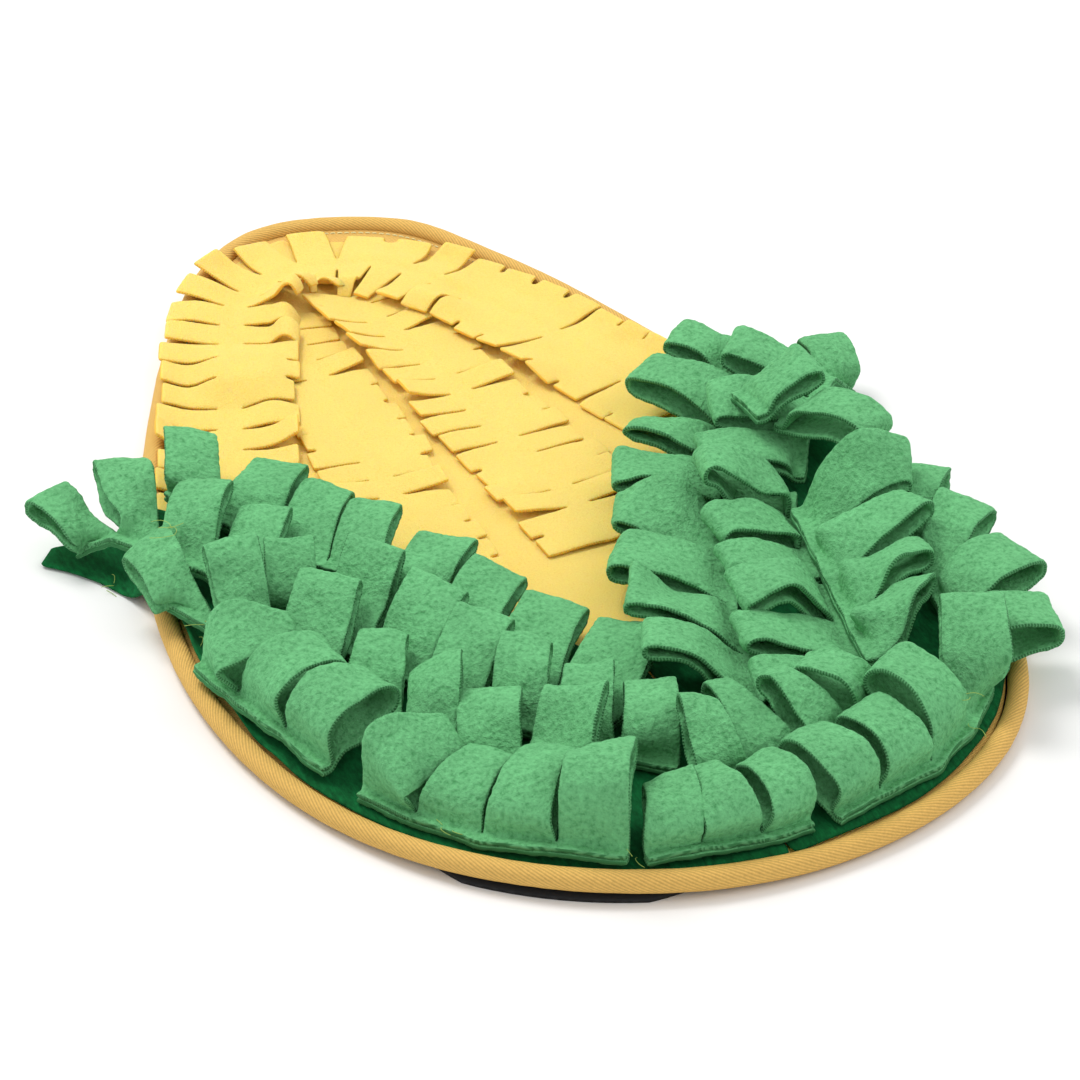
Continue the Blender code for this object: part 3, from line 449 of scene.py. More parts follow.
class Lane:
    """The ground path of one loop or finger: middle line, cross direction and half width.

    places: distance from the root of each section; nose: how far the rounded end goes beyond.
    """

    def __init__(self, root_left, root_right, direction, half_width, places, fences, nose=0.0):
        self.places = places
        self.direction = direction
        self.nose = nose
        side = Vector((-direction.y, direction.x))
        self.middles, self.halves = [], []
        for place in places:
            if place == 0:
                left, right = root_left, root_right
            else:
                middle = (root_left + root_right) / 2 + direction * place
                left = keep_inside(middle + side * half_width, root_left, fences[0], -1)
                right = keep_inside(middle - side * half_width, root_right, fences[1], 1)
            self.middles.append((left + right) / 2)
            self.halves.append((left - right) / 2)

    def edge(self, section, where):
        """Ground point of a section, from where = 1 at its left edge to -1 at its right."""
        return self.middles[section] + self.halves[section] * where

    def rest(self, pile, clearance, ahead):
        """Height and tilt of each section of a stiff strip that rests on the pile."""
        wheres = np.linspace(-1, 1, 9)
        heights, tilts = [], []
        for k in range(1, len(self.places)):
            front = ahead if k + 1 == len(self.places) else MAP_STEP
            shifts = np.linspace(-MAP_STEP, front, 5)
            x = (self.middles[k].x + self.halves[k].x * wheres[:, None] + self.direction.x * shifts)
            y = (self.middles[k].y + self.halves[k].y * wheres[:, None] + self.direction.y * shifts)
            under = pile.read_drape(x, y).max(axis=1)
            tilt = resting_tilt(wheres * self.halves[k].length, under)
            tilts.append(tilt)
            heights.append((under - tilt * wheres * self.halves[k].length).max() + clearance)
        return heights, tilts

    def room_below(self, pile, heights, tilts, clearance, k):
        """Least room under the straight run from section k to the next, along the run."""
        wheres = np.linspace(-1, 1, 9)[:, None]
        shares = np.linspace(0, 1, 9)[None, :]
        a, b = self.middles[k], self.middles[k + 1]
        half_a, half_b = self.halves[k], self.halves[k + 1]
        x = (a.x + half_a.x * wheres) * (1 - shares) + (b.x + half_b.x * wheres) * shares
        y = (a.y + half_a.y * wheres) * (1 - shares) + (b.y + half_b.y * wheres) * shares
        z = ((heights[k] + tilts[k] * half_a.length * wheres) * (1 - shares)
             + (heights[k + 1] + tilts[k + 1] * half_b.length * wheres) * shares)
        edges = [heights[i] + tilts[i] * self.halves[i].length * sign
                 for i in (k, k + 1) for sign in (-1, 1)]
        z = z - twist(*edges) * bulge((wheres + 1) / 2, shares)
        room = (z - pile.read(x, y) - clearance).min(axis=0)
        if k == 0:
            room = np.where(shares[0] * self.places[1] < SEAM_FRONT, 1.0, room)
        return shares[0], room

    def room_below_nose(self, pile, height, tilt, clearance):
        """Least room under the rounded end, which rises ahead of the last section."""
        wheres = np.linspace(-1, 1, 9)[:, None]
        ahead = np.linspace(0, self.nose, 5)[None, :]
        middle, half = self.middles[-1], self.halves[-1]
        x = middle.x + half.x * wheres + self.direction.x * ahead
        y = middle.y + half.y * wheres + self.direction.y * ahead
        z = height + tilt * half.length * wheres + ahead * math.tan(NOSE_TURN) / 2
        return (z - pile.read(x, y) - clearance).min()

    def settle(self, pile, heights, tilts, clearance, least):
        """Raise sections until the runs between them clear the pile, then lower them onto it."""
        last = len(heights) - 1
        for _ in range(RAISE_TURNS):
            for k in range(last):
                shares, room = self.room_below(pile, heights, tilts, clearance, k)
                worst = int(room.argmin())
                if room[worst] >= 0:
                    continue
                share = shares[worst]
                if k == 0:
                    heights[1] -= room[worst] / share
                    continue
                lift = -room[worst] / (share ** 2 + (1 - share) ** 2)
                heights[k] += lift * (1 - share)
                heights[k + 1] += lift * share
            heights[last] -= min(0.0, self.room_below_nose(pile, heights[last], tilts[last], clearance))
        for _ in range(LOWER_TURNS):
            for k in range(1, last + 1):
                drop = heights[k] - least[k]
                shares, room = self.room_below(pile, heights, tilts, clearance, k - 1)
                drop = min(drop, (room[1:] / shares[1:]).min())
                if k < last:
                    shares, room = self.room_below(pile, heights, tilts, clearance, k)
                    drop = min(drop, (room[:-1] / (1 - shares[:-1])).min())
                else:
                    drop = min(drop, self.room_below_nose(pile, heights[k], tilts[k], clearance))
                heights[k] -= max(0.0, drop)
        return heights


def keep_inside(flat, root, fence, wanted):
    """Hold a point on its own side of the line between two neighbours of a strip."""
    if fence is None:
        return flat
    across = Vector((-fence.y, fence.x))
    offset = (flat - root).dot(across) * wanted
    if offset >= SLIT_HALF:
        return flat
    return flat + across * wanted * (SLIT_HALF - offset)


def resting_tilt(offsets, under):
    """Slope of the lowest straight line above the pile's profile, at its middle."""
    best_height, best_tilt = under[len(under) // 2], 0.0
    for a in range(len(offsets) // 2):
        for b in range(len(offsets) // 2 + 1, len(offsets)):
            tilt = (under[b] - under[a]) / (offsets[b] - offsets[a])
            height = under[a] - tilt * offsets[a]
            if height > best_height:
                best_height, best_tilt = height, tilt
    return best_tilt


def point(flat, height):
    return (flat.x, flat.y, height)


def map_pad(pile):
    """Enter the panel and the roll in the height map."""
    size_x, size_y = pile.top.shape
    x = (np.arange(size_x) + 0.5) * MAP_STEP - MAP_HALF_X
    y = (np.arange(size_y) + 0.5) * MAP_STEP - MAP_HALF_Y
    grid_x, grid_y = np.meshgrid(x, y, indexing="ij")
    ring = np.array([tuple(p) for p in outline(lambda angle: ROLL_RADIUS, 360)])
    far = np.full(grid_x.shape, 1e3)
    middle = np.zeros(grid_x.shape)
    inside = np.zeros(grid_x.shape, bool)
    for k, ((ax, ay), (bx, by)) in enumerate(zip(ring, np.roll(ring, -1, axis=0))):
        distance = np.hypot(grid_x - ax, grid_y - ay)
        middle = np.where(distance < far, roll_height(2 * math.pi * k / len(ring)), middle)
        far = np.minimum(far, distance)
        crosses = (ay > grid_y) != (by > grid_y)
        slope = (bx - ax) / (by - ay) if by != ay else 0.0
        inside ^= crosses & (grid_x < ax + (grid_y - ay) * slope)
    pile.top[inside] = PANEL_TOP
    on_roll = far < ROLL_RADIUS
    pile.top[on_roll] = middle[on_roll] + np.sqrt(ROLL_RADIUS ** 2 - far[on_roll] ** 2)
    pile.ease()


def leaf_room(cell, pile, clearance):
    """Room under one cell of a leaf at points across it, and each corner's share of their height."""
    v, u = np.meshgrid(np.linspace(0, 1, 9), np.linspace(0, 1, 9))
    shares = np.array([[(1 - u) * (1 - v), (1 - u) * v], [u * (1 - v), u * v]])
    x, y, z = (np.einsum("ij,ijkl->kl", cell[..., axis], shares) for axis in range(3))
    under = pile.read(x, y)
    over_roll = np.where(under > ROLL_HEIGHT + 0.5 * ROLL_RADIUS, EDGE_CLEARANCE, 0)
    z = z - twist(*cell[..., 2].ravel()) * bulge(u, v)
    return z - under - over_roll - clearance, shares


def lay_leaf(sections, pile):
    """Points of a flat leaf that lies on the pad and over its roll."""
    clearance = GAP + FELT_THICK / 2 + LAY_MARGIN
    outers = smooth_path([Vector(section[:2]) for section in sections], LEAF_SECTIONS)
    inners = smooth_path([Vector(section[2:]) for section in sections], LEAF_SECTIONS)
    count = LEAF_SECTIONS
    grid = np.zeros((count + 1, LEAF_CELLS + 1, 3))
    for i, ((outer_x, outer_y), (inner_x, inner_y)) in enumerate(zip(outers, inners)):
        for row in range(LEAF_CELLS + 1):
            share = row / LEAF_CELLS
            grid[i, row, 0] = (outer_x + (inner_x - outer_x) * share) * MM
            grid[i, row, 1] = (outer_y + (inner_y - outer_y) * share) * MM
    grid[..., 2] = pile.read(grid[..., 0], grid[..., 1]) + clearance
    for _ in range(RELAX_TURNS):
        for i in range(count):
            for row in range(LEAF_CELLS):
                room, shares = leaf_room(grid[i:i + 2, row:row + 2], pile, clearance)
                worst = np.unravel_index(room.argmin(), room.shape)
                if room[worst] < 0:
                    weights = shares[:, :, worst[0], worst[1]]
                    grid[i:i + 2, row:row + 2, 2] -= weights * room[worst] / (weights ** 2).sum()
    for i in range(count + 1):
        for row in range(LEAF_CELLS + 1):
            drop = FELT_DROP
            for di in (0, 1):
                for dj in (0, 1):
                    if 0 <= i - di < count and 0 <= row - dj < LEAF_CELLS:
                        cell = grid[i - di:i - di + 2, row - dj:row - dj + 2]
                        room, shares = leaf_room(cell, pile, clearance)
                        drop = min(drop, (room / np.maximum(shares[di, dj], 0.02)).min())
            grid[i, row, 2] -= max(0.0, min(drop, grid[i, row, 2] - FELT_THICK))
    table = {}
    for i in range(count):
        for side in (0, 1):
            for row in range(LEAF_CELLS + 1):
                table[i, side, row] = tuple(grid[i + side, row])
    pile.add_sheet(table, count, LEAF_CELLS + 1, FELT_THICK / 2 + MAP_LIFT)
    return grid


def seam_heights(pile, backs, fronts, clearance):
    """Height of each point of a seam, above all that lies between the lines behind and before it."""
    under = []
    for i in range(len(backs) - 1):
        corners = [np.array(p) for p in (fronts[i], fronts[i + 1], backs[i], backs[i + 1])]
        u, v = np.meshgrid(np.linspace(0, 1, 13), np.linspace(0, 1, 9))
        u, v = u[..., None], v[..., None]
        spots = ((1 - v) * ((1 - u) * corners[0] + u * corners[1])
                 + v * ((1 - u) * corners[2] + u * corners[3]))
        under.append(pile.read(spots[..., 0], spots[..., 1]).max())
    last = len(under) - 1
    return [max(under[max(i - 1, 0)], under[min(i, last)]) + clearance for i in range(len(backs))]


def lay_fringe(strip, pile):
    """A strip sewn down along its middle, slit into fingers on both sides."""
    count, bends = strip["count"], len(strip["bends"])
    seam = smooth_path([Vector(p) * MM for p in strip["seam"]], count)
    thick = FRINGE_THICK
    clearance = GAP + thick / 2 + LAY_MARGIN
    normals, backs, fronts = [], [], []
    for i, flat in enumerate(seam):
        along = (seam[min(i + 1, count)] - seam[max(i - 1, 0)]).normalized()
        normals.append(Vector((-along.y, along.x)))
        backs.append(flat - normals[i] * (SPINE + SEAM_FRONT))
        fronts.append(flat + normals[i] * (SPINE + SEAM_FRONT))
    heights_at = seam_heights(pile, backs, fronts, clearance)
    table = {}
    for sign, side_name, root_row in ((1, "left", bends + 1), (-1, "right", bends + 2)):
        first, last = (length * MM - SPINE for length in strip[side_name])
        for i in range(count):
            length = first + (last - first) * i / (count - 1)
            places = (0,) + tuple(length * share for share in strip["bends"]) + (length,)
            ends = (i, i + 1) if sign > 0 else (i + 1, i)
            fences = [normals[end] * sign for end in ends]
            roots = [seam[end] + fence * SPINE for end, fence in zip(ends, fences)]
            lane = Lane(roots[0], roots[1], (fences[0] + fences[1]).normalized(),
                        (roots[0] - roots[1]).length / 2, places, fences)
            heights, tilts = lane.rest(pile, clearance, MAP_STEP)
            left, right = (heights_at[end] for end in ends)
            tilts = [(left - right) / (2 * lane.halves[0].length)] + tilts
            heights = [(left + right) / 2] + heights
            heights = lane.settle(pile, heights, tilts, clearance, (0,) * len(places))
            if i in strip["curled"]:
                heights[-1] += CURL
            for k in range(len(places)):
                for side in (0, 1):
                    where = (1 if side == 0 else -1) * sign
                    height = heights[k] + tilts[k] * lane.halves[k].length * where
                    table[i, side, root_row - sign * k] = point(lane.edge(k, where), height)
    rows = 2 * bends + 4
    pile.add_sheet(table, count, rows, thick / 2 + MAP_LIFT)
    return table


def seam_points(loops):
    """Points of the seam between neighbouring loops, and at both ends."""
    roots = [Vector((x, y)) * MM for x, y, *_ in loops]
    if len(loops) == 1:
        heading, width = loops[0][2], loops[0][6] * MM
        side = heading_vector(heading - 90) * width / 2
        return [roots[0] - side, roots[0] + side]
    seams = [(a + b) / 2 for a, b in zip(roots, roots[1:])]
    seams.insert(0, roots[0] * 2 - seams[0])
    seams.append(roots[-1] * 2 - seams[-1])
    seams[0] = seams[0].lerp(roots[0], END_INSET)
    seams[-1] = seams[-1].lerp(roots[-1], END_INSET)
    return seams


def fence_between(loops, index):
    """Direction of the line between two neighbouring loops, none beyond the ends."""
    if index in (0, len(loops)):
        return None
    return (heading_vector(loops[index - 1][2]) + heading_vector(loops[index][2])).normalized()


def sewn_edge(loops, seams):
    """Points behind and before each point of a seam, and 1 if its loops lie left of its run."""
    run = seams[-1] - seams[0]
    facing = heading_vector(loops[len(loops) // 2][2])
    turned = 1 if run.x * facing.y - run.y * facing.x > 0 else -1
    backs, fronts = [], []
    last = len(seams) - 1
    for i, seam in enumerate(seams):
        along = (seams[min(i + 1, last)] - seams[max(i - 1, 0)]).normalized()
        forward = Vector((-along.y, along.x)) * turned
        backs.append(seam - forward * TAIL)
        fronts.append(seam + forward * SEAM_FRONT)
    return backs, fronts, turned


def loop_sections(loop, roots, fences, root_heights, pile):
    """Sections of one loop, from its root over the pile, round its nose and back to its root.

    roots, fences, root_heights: at its left and right edge.  Each section is a lane, a place on
    it, the distance ahead of that place, a height and a tilt.
    """
    heading = heading_vector(loop[2])
    reach, rise, opening, width = (size * MM for size in loop[3:])
    nose = (opening + FLEECE_THICK) / 2
    flat_reach = max(reach - nose, 0.5 * reach)
    places = (0, flat_reach * FIRST_BEND, flat_reach * SECOND_BEND, flat_reach)
    lane = Lane(roots[0], roots[1], heading, width / 2, places, fences, nose)
    heights, tilts = lane.rest(pile, FLEECE_CLEARANCE, nose)
    start = (root_heights[0] + root_heights[1]) / 2
    slope = (root_heights[0] - root_heights[1]) / (2 * lane.halves[0].length)
    least = [start + rise * (1 - (1 - place / flat_reach) ** 2) for place in places]
    heights = [start] + [max(pair) for pair in zip(heights, least[1:])]
    tilts = [slope] + tilts
    heights = lane.settle(pile, heights, tilts, FLEECE_CLEARANCE, least)
    arch = min(1.0, opening / ARCH_OPENING) ** 2
    first_open = opening * (OPEN_AT_FIRST + (ARCH_OPEN_AT_FIRST - OPEN_AT_FIRST) * arch)
    second_open = opening * (OPEN_AT_SECOND + (ARCH_OPEN_AT_SECOND - OPEN_AT_SECOND) * arch)
    back_places = (places[1] - ARCH_BACK * arch, places[2] - ARCH_BACK * arch)
    back = Lane(roots[0], roots[1], heading, width / 2, back_places, fences)
    nose_ahead = nose * math.cos(NOSE_TURN)
    nose_step = nose * math.sin(NOSE_TURN)
    second_top = heights[2] + FLEECE_THICK + max(second_open, LEAST_OPEN_SECOND)
    first_top = heights[1] + FLEECE_THICK + max(first_open, LEAST_OPEN_FIRST)
    return [
        (lane, 1, 0, heights[1], tilts[1]),
        (lane, 2, 0, heights[2], tilts[2]),
        (lane, 3, 0, heights[3], tilts[3]),
        (lane, 3, nose_ahead, heights[3] + nose - nose_step, tilts[3]),
        (lane, 3, nose_ahead, heights[3] + nose + nose_step, tilts[3]),
        (lane, 3, 0, heights[3] + 2 * nose, tilts[3]),
        (back, 1, 0, second_top, tilts[2]),
        (back, 0, 0, first_top, tilts[1]),
    ]


def lay_loops(loops, pile):
    """A folded strip: both raw edges sewn down together, its fold slit into loops."""
    seams = seam_points(loops)
    backs, fronts, turned = sewn_edge(loops, seams)
    heights_at = seam_heights(pile, backs, fronts, FLEECE_CLEARANCE)
    table = {}
    last_row = LOOP_PLAN_ROWS - 1
    for i, loop in enumerate(loops):
        ends = (i, i + 1)
        for side, end in enumerate(ends):
            height = heights_at[end]
            table[i, side, 0] = point(backs[end], height)
            table[i, side, 1] = point(seams[end], height)
            table[i, side, last_row] = point(backs[end], height + FLEECE_THICK + GAP)
            table[i, side, last_row - 1] = point(seams[end], height + FLEECE_THICK + GAP)
        left_first = ends[::turned]
        sections = loop_sections(loop, [seams[end] for end in left_first],
                                 [fence_between(loops, end) for end in left_first],
                                 [heights_at[end] for end in left_first], pile)
        for row, (path, k, ahead, height, tilt) in enumerate(sections, start=2):
            for side, end in enumerate(ends):
                where = 1 if end == left_first[0] else -1
                flat = path.edge(k, where) + path.direction * ahead
                table[i, side, row] = point(flat, height + tilt * path.halves[k].length * where)
    pile.add_sheet(table, len(loops), LOOP_PLAN_ROWS, FLEECE_THICK / 2 + MAP_LIFT)
    return table


# Finished loops: mesh rows between the rows of the plan, and how far each loop strays from it.
LOOP_ROWS = (3, 5, 7, 7, 3, 3, 3, 7, 7, 5, 3)
LOOP_COLUMNS = 11
LOOP_SHARES = {2: 0.3, 3: 0.7, 4: 1.0, 5: 1.0, 6: 1.0, 7: 1.0, 8: 0.8, 9: 0.3}    # by row
NOSE_ROW, ARCH_ROW, HEEL_ROW, UPPER_SEAM_ROW = 7, 8, 9, 10    # of a loop's upper layer
LOOP_PUFF = (0.0 * MM, 2.4 * MM)
HEEL_PUFF = 0.8               # share of it behind the arch
LOOP_CAMBER = (-1.2 * MM, 2.4 * MM)
LOOP_LEAN = 2.6 * MM          # one cut edge lifted more than the other
LOOP_LIFTED = 1 / 1.5         # share of camber and lean that it gets
LOOP_SWAY = 3.0 * MM          # sideways, at its nose
LOOP_NARROW = (-0.02, 0.13)   # share of its width that a loop loses at its nose
LOOP_SLIDE = 1.6 * MM         # of its upper layer along the lower one
RIPPLE, RIPPLE_SIZE = 1.7 * MM, 15 * MM
CREASE, CREASE_SIZE = 0.8 * MM, 7 * MM
TAIL_WAVE, TAIL_WAVE_SIZE = 1.5 * MM, 11 * MM    # of the sewn edges
TAIL_ROWS = 6                 # mesh rows over which that wave dies out
EDGE_TOOTH = 0.14 * MM
GRAIN, GRAIN_SIZE = 0.75 * MM, 2.2 * MM          # relief of the nap

# Finished fringe.
FRINGE_GRAIN = 0.3 * MM
FRINGE_ROWS = 6
FRINGE_COLUMNS = 5
SEAM_ROWS = 3                 # across the unslit middle of a strip
FRINGE_CURL = 1.8 * MM
FRINGE_CURLS = (-1.0, 0.5)    # share of it that a finger's tip bends up
FRINGE_RIPPLE = 0.9 * MM
FRINGE_UNEVEN = 0.2           # share of its length that a finger may lack
FRINGE_SWAY = 1.6 * MM        # sideways, at its tip
FRINGE_CLOSED = 0.7           # share of the slits that lie shut
FRINGE_OPEN_END = 3           # mesh rows at the tips where those gape too
SEAM_GROOVE = 0.7 * MM        # the machine seam along a strip's middle
RUFFLED = {"yellow_strip_outer": (9, 10, 11, 12, 13, 14, 15)}    # crumpled fingers at the tip
RUFFLE, RUFFLE_DROP = 5.5 * MM, 3.5 * MM
LEVEL_LIMIT = 4 * MM          # neighbours closer in height than this lie level

# Finished leaves.
LEAF_FINE = 3                 # mesh rows to a row of the plan
LEAF_RIPPLE, LEAF_RIPPLE_SIZE = 0.5 * MM, 30 * MM
FRAY, FRAY_SIZE = 0.5 * MM, 2.5 * MM
MEETING_REACH = 1.0 * MM      # of both leaves, where they meet
FELT_REACH = 1.6 * MM         # of the felt's edge, past the line it is laid by

# Finished roll: girth and height wander slowly, and its cloth puckers finely.
ROLL_STEPS, ROLL_AROUND = 520, 20
ROLL_WANDER, ROLL_WANDER_SIZE = 0.06, 40 * MM    # share of the radius
ROLL_PUCKER, ROLL_PUCKER_SIZE = 0.03, 7 * MM
ROLL_SAG = 0.3 * MM

# Finished panels, and the twill border between the fringe and the roll.
PANEL_STEPS, PANEL_RINGS = 208, 24
PANEL_HUB = 0.004             # size of the innermost ring, as a share of the panel
BORDER, BORDER_WIDE = 3 * MM, 13 * MM
BORDER_AT, BORDER_SPAN = math.radians(22), math.radians(30)

# Topstitch.
STITCH_FROM, STITCH_TO = math.radians(6), math.radians(42)
STITCH, STITCH_GAP, STITCH_INSET = 2.4 * MM, 1.0 * MM, 12.5 * MM
STITCH_RADIUS, STITCH_RISE = 0.35 * MM, 0.3 * MM
STITCH_STEPS = 4000           # steps round the whole outline

THREAD_RADIUS = 0.14 * MM
THREAD_SPREAD = 3             # of a tuft, in mm
THREAD_STEPS = 8
# Loose threads at cut edges: x, y in mm, how many, and the longest in mm.
THREAD_TUFTS = (
    (-157, -14, 5, 12),
    (-176, 16, 3, 9),
    (-158, -60, 4, 10),
    (-118, -214, 3, 8),
    (-60, -262, 3, 8),
    (96, -236, 4, 10),
    (160, -58, 4, 9),
    (168, -14, 3, 8),
)


def smooth_rows(points, counts):
    """Rows along a centripetal Catmull-Rom curve through the given (rows, columns, 3) points."""
    ends = np.concatenate([2 * points[:1] - points[1:2], points, 2 * points[-1:] - points[-2:-1]])
    gaps = np.sqrt(np.linalg.norm(np.diff(ends, axis=0), axis=-1)) + 1e-5
    knots = np.concatenate([np.zeros((1, ends.shape[1])), np.cumsum(gaps, axis=0)])[..., None]
    rows = []
    for i, count in enumerate(counts):
        p, t = ends[i:i + 4], knots[i:i + 4]
        for step in range(count):
            s = t[1] + (t[2] - t[1]) * step / count
            first = [((t[k + 1] - s) * p[k] + (s - t[k]) * p[k + 1]) / (t[k + 1] - t[k]) for k in range(3)]
            second = [((t[k + 2] - s) * first[k] + (s - t[k]) * first[k + 1]) / (t[k + 2] - t[k])
                      for k in range(2)]
            rows.append(((t[2] - s) * second[0] + (s - t[1]) * second[1]) / (t[2] - t[1]))
    rows.append(points[-1])
    return np.array(rows)


def grid_normals(grid):
    along = np.gradient(grid, axis=0)
    across = np.gradient(grid, axis=1)
    normals = np.cross(along, across)
    return normals / (np.linalg.norm(normals, axis=-1, keepdims=True) + 1e-12)


def ripple(grid, size, seed):
    """Smooth noise, -1 to 1, at the points of a grid."""
    offset = Vector((seed * 3.7, seed * 1.3, seed * 7.1))
    flat = [noise.noise(Vector(p) / size + offset) for p in grid.reshape(-1, 3)]
    return np.array(flat).reshape(grid.shape[:2])


def outward(grid, edge, inner):
    """Directions out of a grid's edge column, away from the column beside it."""
    away = grid[:, edge] - grid[:, inner]
    return away / (np.linalg.norm(away, axis=-1, keepdims=True) + 1e-9)


def add_piece(name, mesh, materials, node=None):
    """Link a finished mesh as a piece, in place of a node where it stands for one."""
    mesh.shade_smooth()
    for material in materials:
        mesh.materials.append(material)
    piece = bpy.data.objects.new(name, mesh)
    bpy.context.scene.collection.objects.link(piece)
    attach(piece, "root")
    if node:
        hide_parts(node)
    return piece


def thicken(piece, thickness):
    solidify = piece.modifiers.new("thickness", "SOLIDIFY")
    solidify.thickness = thickness
    solidify.offset = 0
    return solidify


def mesh_from(name, shape):
    """Mesh of a finished bmesh, with its faces turned outwards."""
    bmesh.ops.recalc_face_normals(shape, faces=shape.faces)
    mesh = bpy.data.meshes.new(name)
    shape.to_mesh(mesh)
    shape.free()
    return mesh


def along_and_across(grid):
    """Distances of a grid's points from its first row and first column, along the cloth."""
    along = np.cumsum(np.linalg.norm(np.diff(grid, axis=0), axis=-1), axis=0)
    across = np.cumsum(np.linalg.norm(np.diff(grid, axis=1), axis=-1), axis=1)
    return np.stack([np.pad(along, ((1, 0), (0, 0))), np.pad(across, ((0, 0), (1, 0)))], axis=-1)


def cells_mesh(name, grids, joined):
    """Mesh of grids side by side; joined(cell) gives the rows where a cell meets the one before."""
    rows, columns = grids[0].shape[:2]
    points, faces, corners, before = [], [], [], None
    for cell, grid in enumerate(grids):
        number = np.zeros((rows, columns), int)
        held = joined(cell) if cell else ()
        for r in range(rows):
            for c in range(columns):
                if c == 0 and r in held:
                    number[r, c] = before[r, columns - 1]
                    points[number[r, c]] = (points[number[r, c]] + grid[r, c]) / 2
                else:
                    number[r, c] = len(points)
                    points.append(grid[r, c])
        uv = along_and_across(grid)
        for r in range(rows - 1):
            for c in range(columns - 1):
                around = ((r, c), (r, c + 1), (r + 1, c + 1), (r + 1, c))
                faces.append([int(number[k]) for k in around])
                corners.extend(uv[k] for k in around)
        before = number
    mesh = bpy.data.meshes.new(name)
    mesh.from_pydata([tuple(p) for p in points], [], faces)
    mesh.uv_layers.new(name="cloth")
    mesh.uv_layers["cloth"].data.foreach_set("uv", np.array(corners, dtype=np.float32).ravel())
    return mesh


def sheet_object(name, grids, joined, thickness, materials, grain=0.0):
    """A thick soft cloth from grids side by side, its cut edges in the last material."""
    piece = add_piece(name + "_cloth", cells_mesh(name, grids, joined), materials, name)
    solidify = thicken(piece, thickness)
    solidify.use_quality_normals = True
    solidify.material_offset_rim = len(materials) - 1
    piece.modifiers.new("round", "SUBSURF").levels = 1
    piece.modifiers["round"].render_levels = 1
    if grain:
        pile = piece.modifiers.new("pile", "DISPLACE")
        pile.texture = grain_texture()
        pile.texture_coords = "GLOBAL"
        pile.strength = grain
        pile.mid_level = 0.5
    return piece


def grain_texture():
    texture = bpy.data.textures.get("grain")
    if texture is None:
        texture = bpy.data.textures.new("grain", "CLOUDS")
        texture.noise_scale = GRAIN_SIZE
        texture.noise_depth = 1
    return texture


def cell_grid(table, cell, rows, columns):
    """Points of one cell of a table, from its left to its right edge."""
    left = np.array([table[cell, 0, row] for row in range(rows)])
    right = np.array([table[cell, 1, row] for row in range(rows)])
    share = np.linspace(0, 1, columns)[None, :, None]
    return left[:, None] * (1 - share) + right[:, None] * share


def stray(coarse, chance):
    """Give one loop's plan its own puff, camber, lean, sway and narrowing; also its heading."""
    across = np.linspace(-1, 1, coarse.shape[1])
    puff = chance.uniform(*LOOP_PUFF)
    camber = chance.uniform(*LOOP_CAMBER)
    lean = chance.uniform(-1, 1) * LOOP_LEAN
    sway, slide = chance.uniform(-1, 1, 2) * (LOOP_SWAY, LOOP_SLIDE)
    narrow = chance.uniform(*LOOP_NARROW)
    onward = coarse[NOSE_ROW].mean(axis=0) - coarse[UPPER_SEAM_ROW].mean(axis=0)
    onward = onward * (1, 1, 0) / np.linalg.norm(onward[:2])
    for row, share in LOOP_SHARES.items():
        middle = coarse[row].mean(axis=0)
        side = coarse[row, -1] - coarse[row, 0]
        side /= np.linalg.norm(side)
        coarse[row] = middle + (coarse[row] - middle) * (1 - narrow * share) + side * sway * share
        lift = camber * (1 - across ** 2) + abs(lean) + lean * across
        coarse[row, :, 2] += share * lift * LOOP_LIFTED
        if row >= NOSE_ROW:
            coarse[row] += onward * slide
    coarse[ARCH_ROW, :, 2] += puff
    coarse[HEEL_ROW, :, 2] += puff * HEEL_PUFF
    return onward


def loop_grid(coarse, seed, tail_seed):
    """Fine grid of one loop with ripples, creases, a wavy sewn edge and toothed cut edges."""
    onward = stray(coarse, np.random.default_rng(seed))
    grid = smooth_rows(coarse, LOOP_ROWS)
    last, middle = len(grid) - 1, LOOP_COLUMNS // 2
    free = np.sin(np.linspace(0, math.pi, last + 1)) ** 0.5
    normals = grid_normals(grid)
    if normals[-4, middle, 2] < 0:
        normals = -normals
    ripples = ripple(grid, RIPPLE_SIZE, seed) * RIPPLE + ripple(grid, CREASE_SIZE, seed + 5) * CREASE
    wave = ripple(grid, TAIL_WAVE_SIZE, tail_seed) * TAIL_WAVE
    numbers = np.arange(last + 1)
    tail = np.clip(1 - np.minimum(numbers, last - numbers) / TAIL_ROWS, 0, 1)
    grid = grid + normals * (ripples * free[:, None])[..., None]
    grid = grid + onward * (wave * tail[:, None])[..., None]
    teeth = EDGE_TOOTH * np.where(numbers % 2 == 0, 1, -1) * (free > 0.5)
    for edge, inner in ((0, 1), (LOOP_COLUMNS - 1, LOOP_COLUMNS - 2)):
        grid[:, edge] += outward(grid, edge, inner) * teeth[:, None]
    return grid


def green_piece(name, loops, table, materials):
    """A folded strip slit into loops, which hold together along its sewn edges."""
    seed = sum(map(ord, name))
    grids = [loop_grid(cell_grid(table, i, LOOP_PLAN_ROWS, LOOP_COLUMNS), seed + 17 * i, len(name))
             for i in range(len(loops))]
    rows, tail_rows = len(grids[0]), LOOP_ROWS[0] + 1
    joined = set(range(tail_rows)) | set(range(rows - tail_rows, rows))
    piece = sheet_object(name, grids, lambda cell: joined, FLEECE_THICK, materials, GRAIN)
    return piece


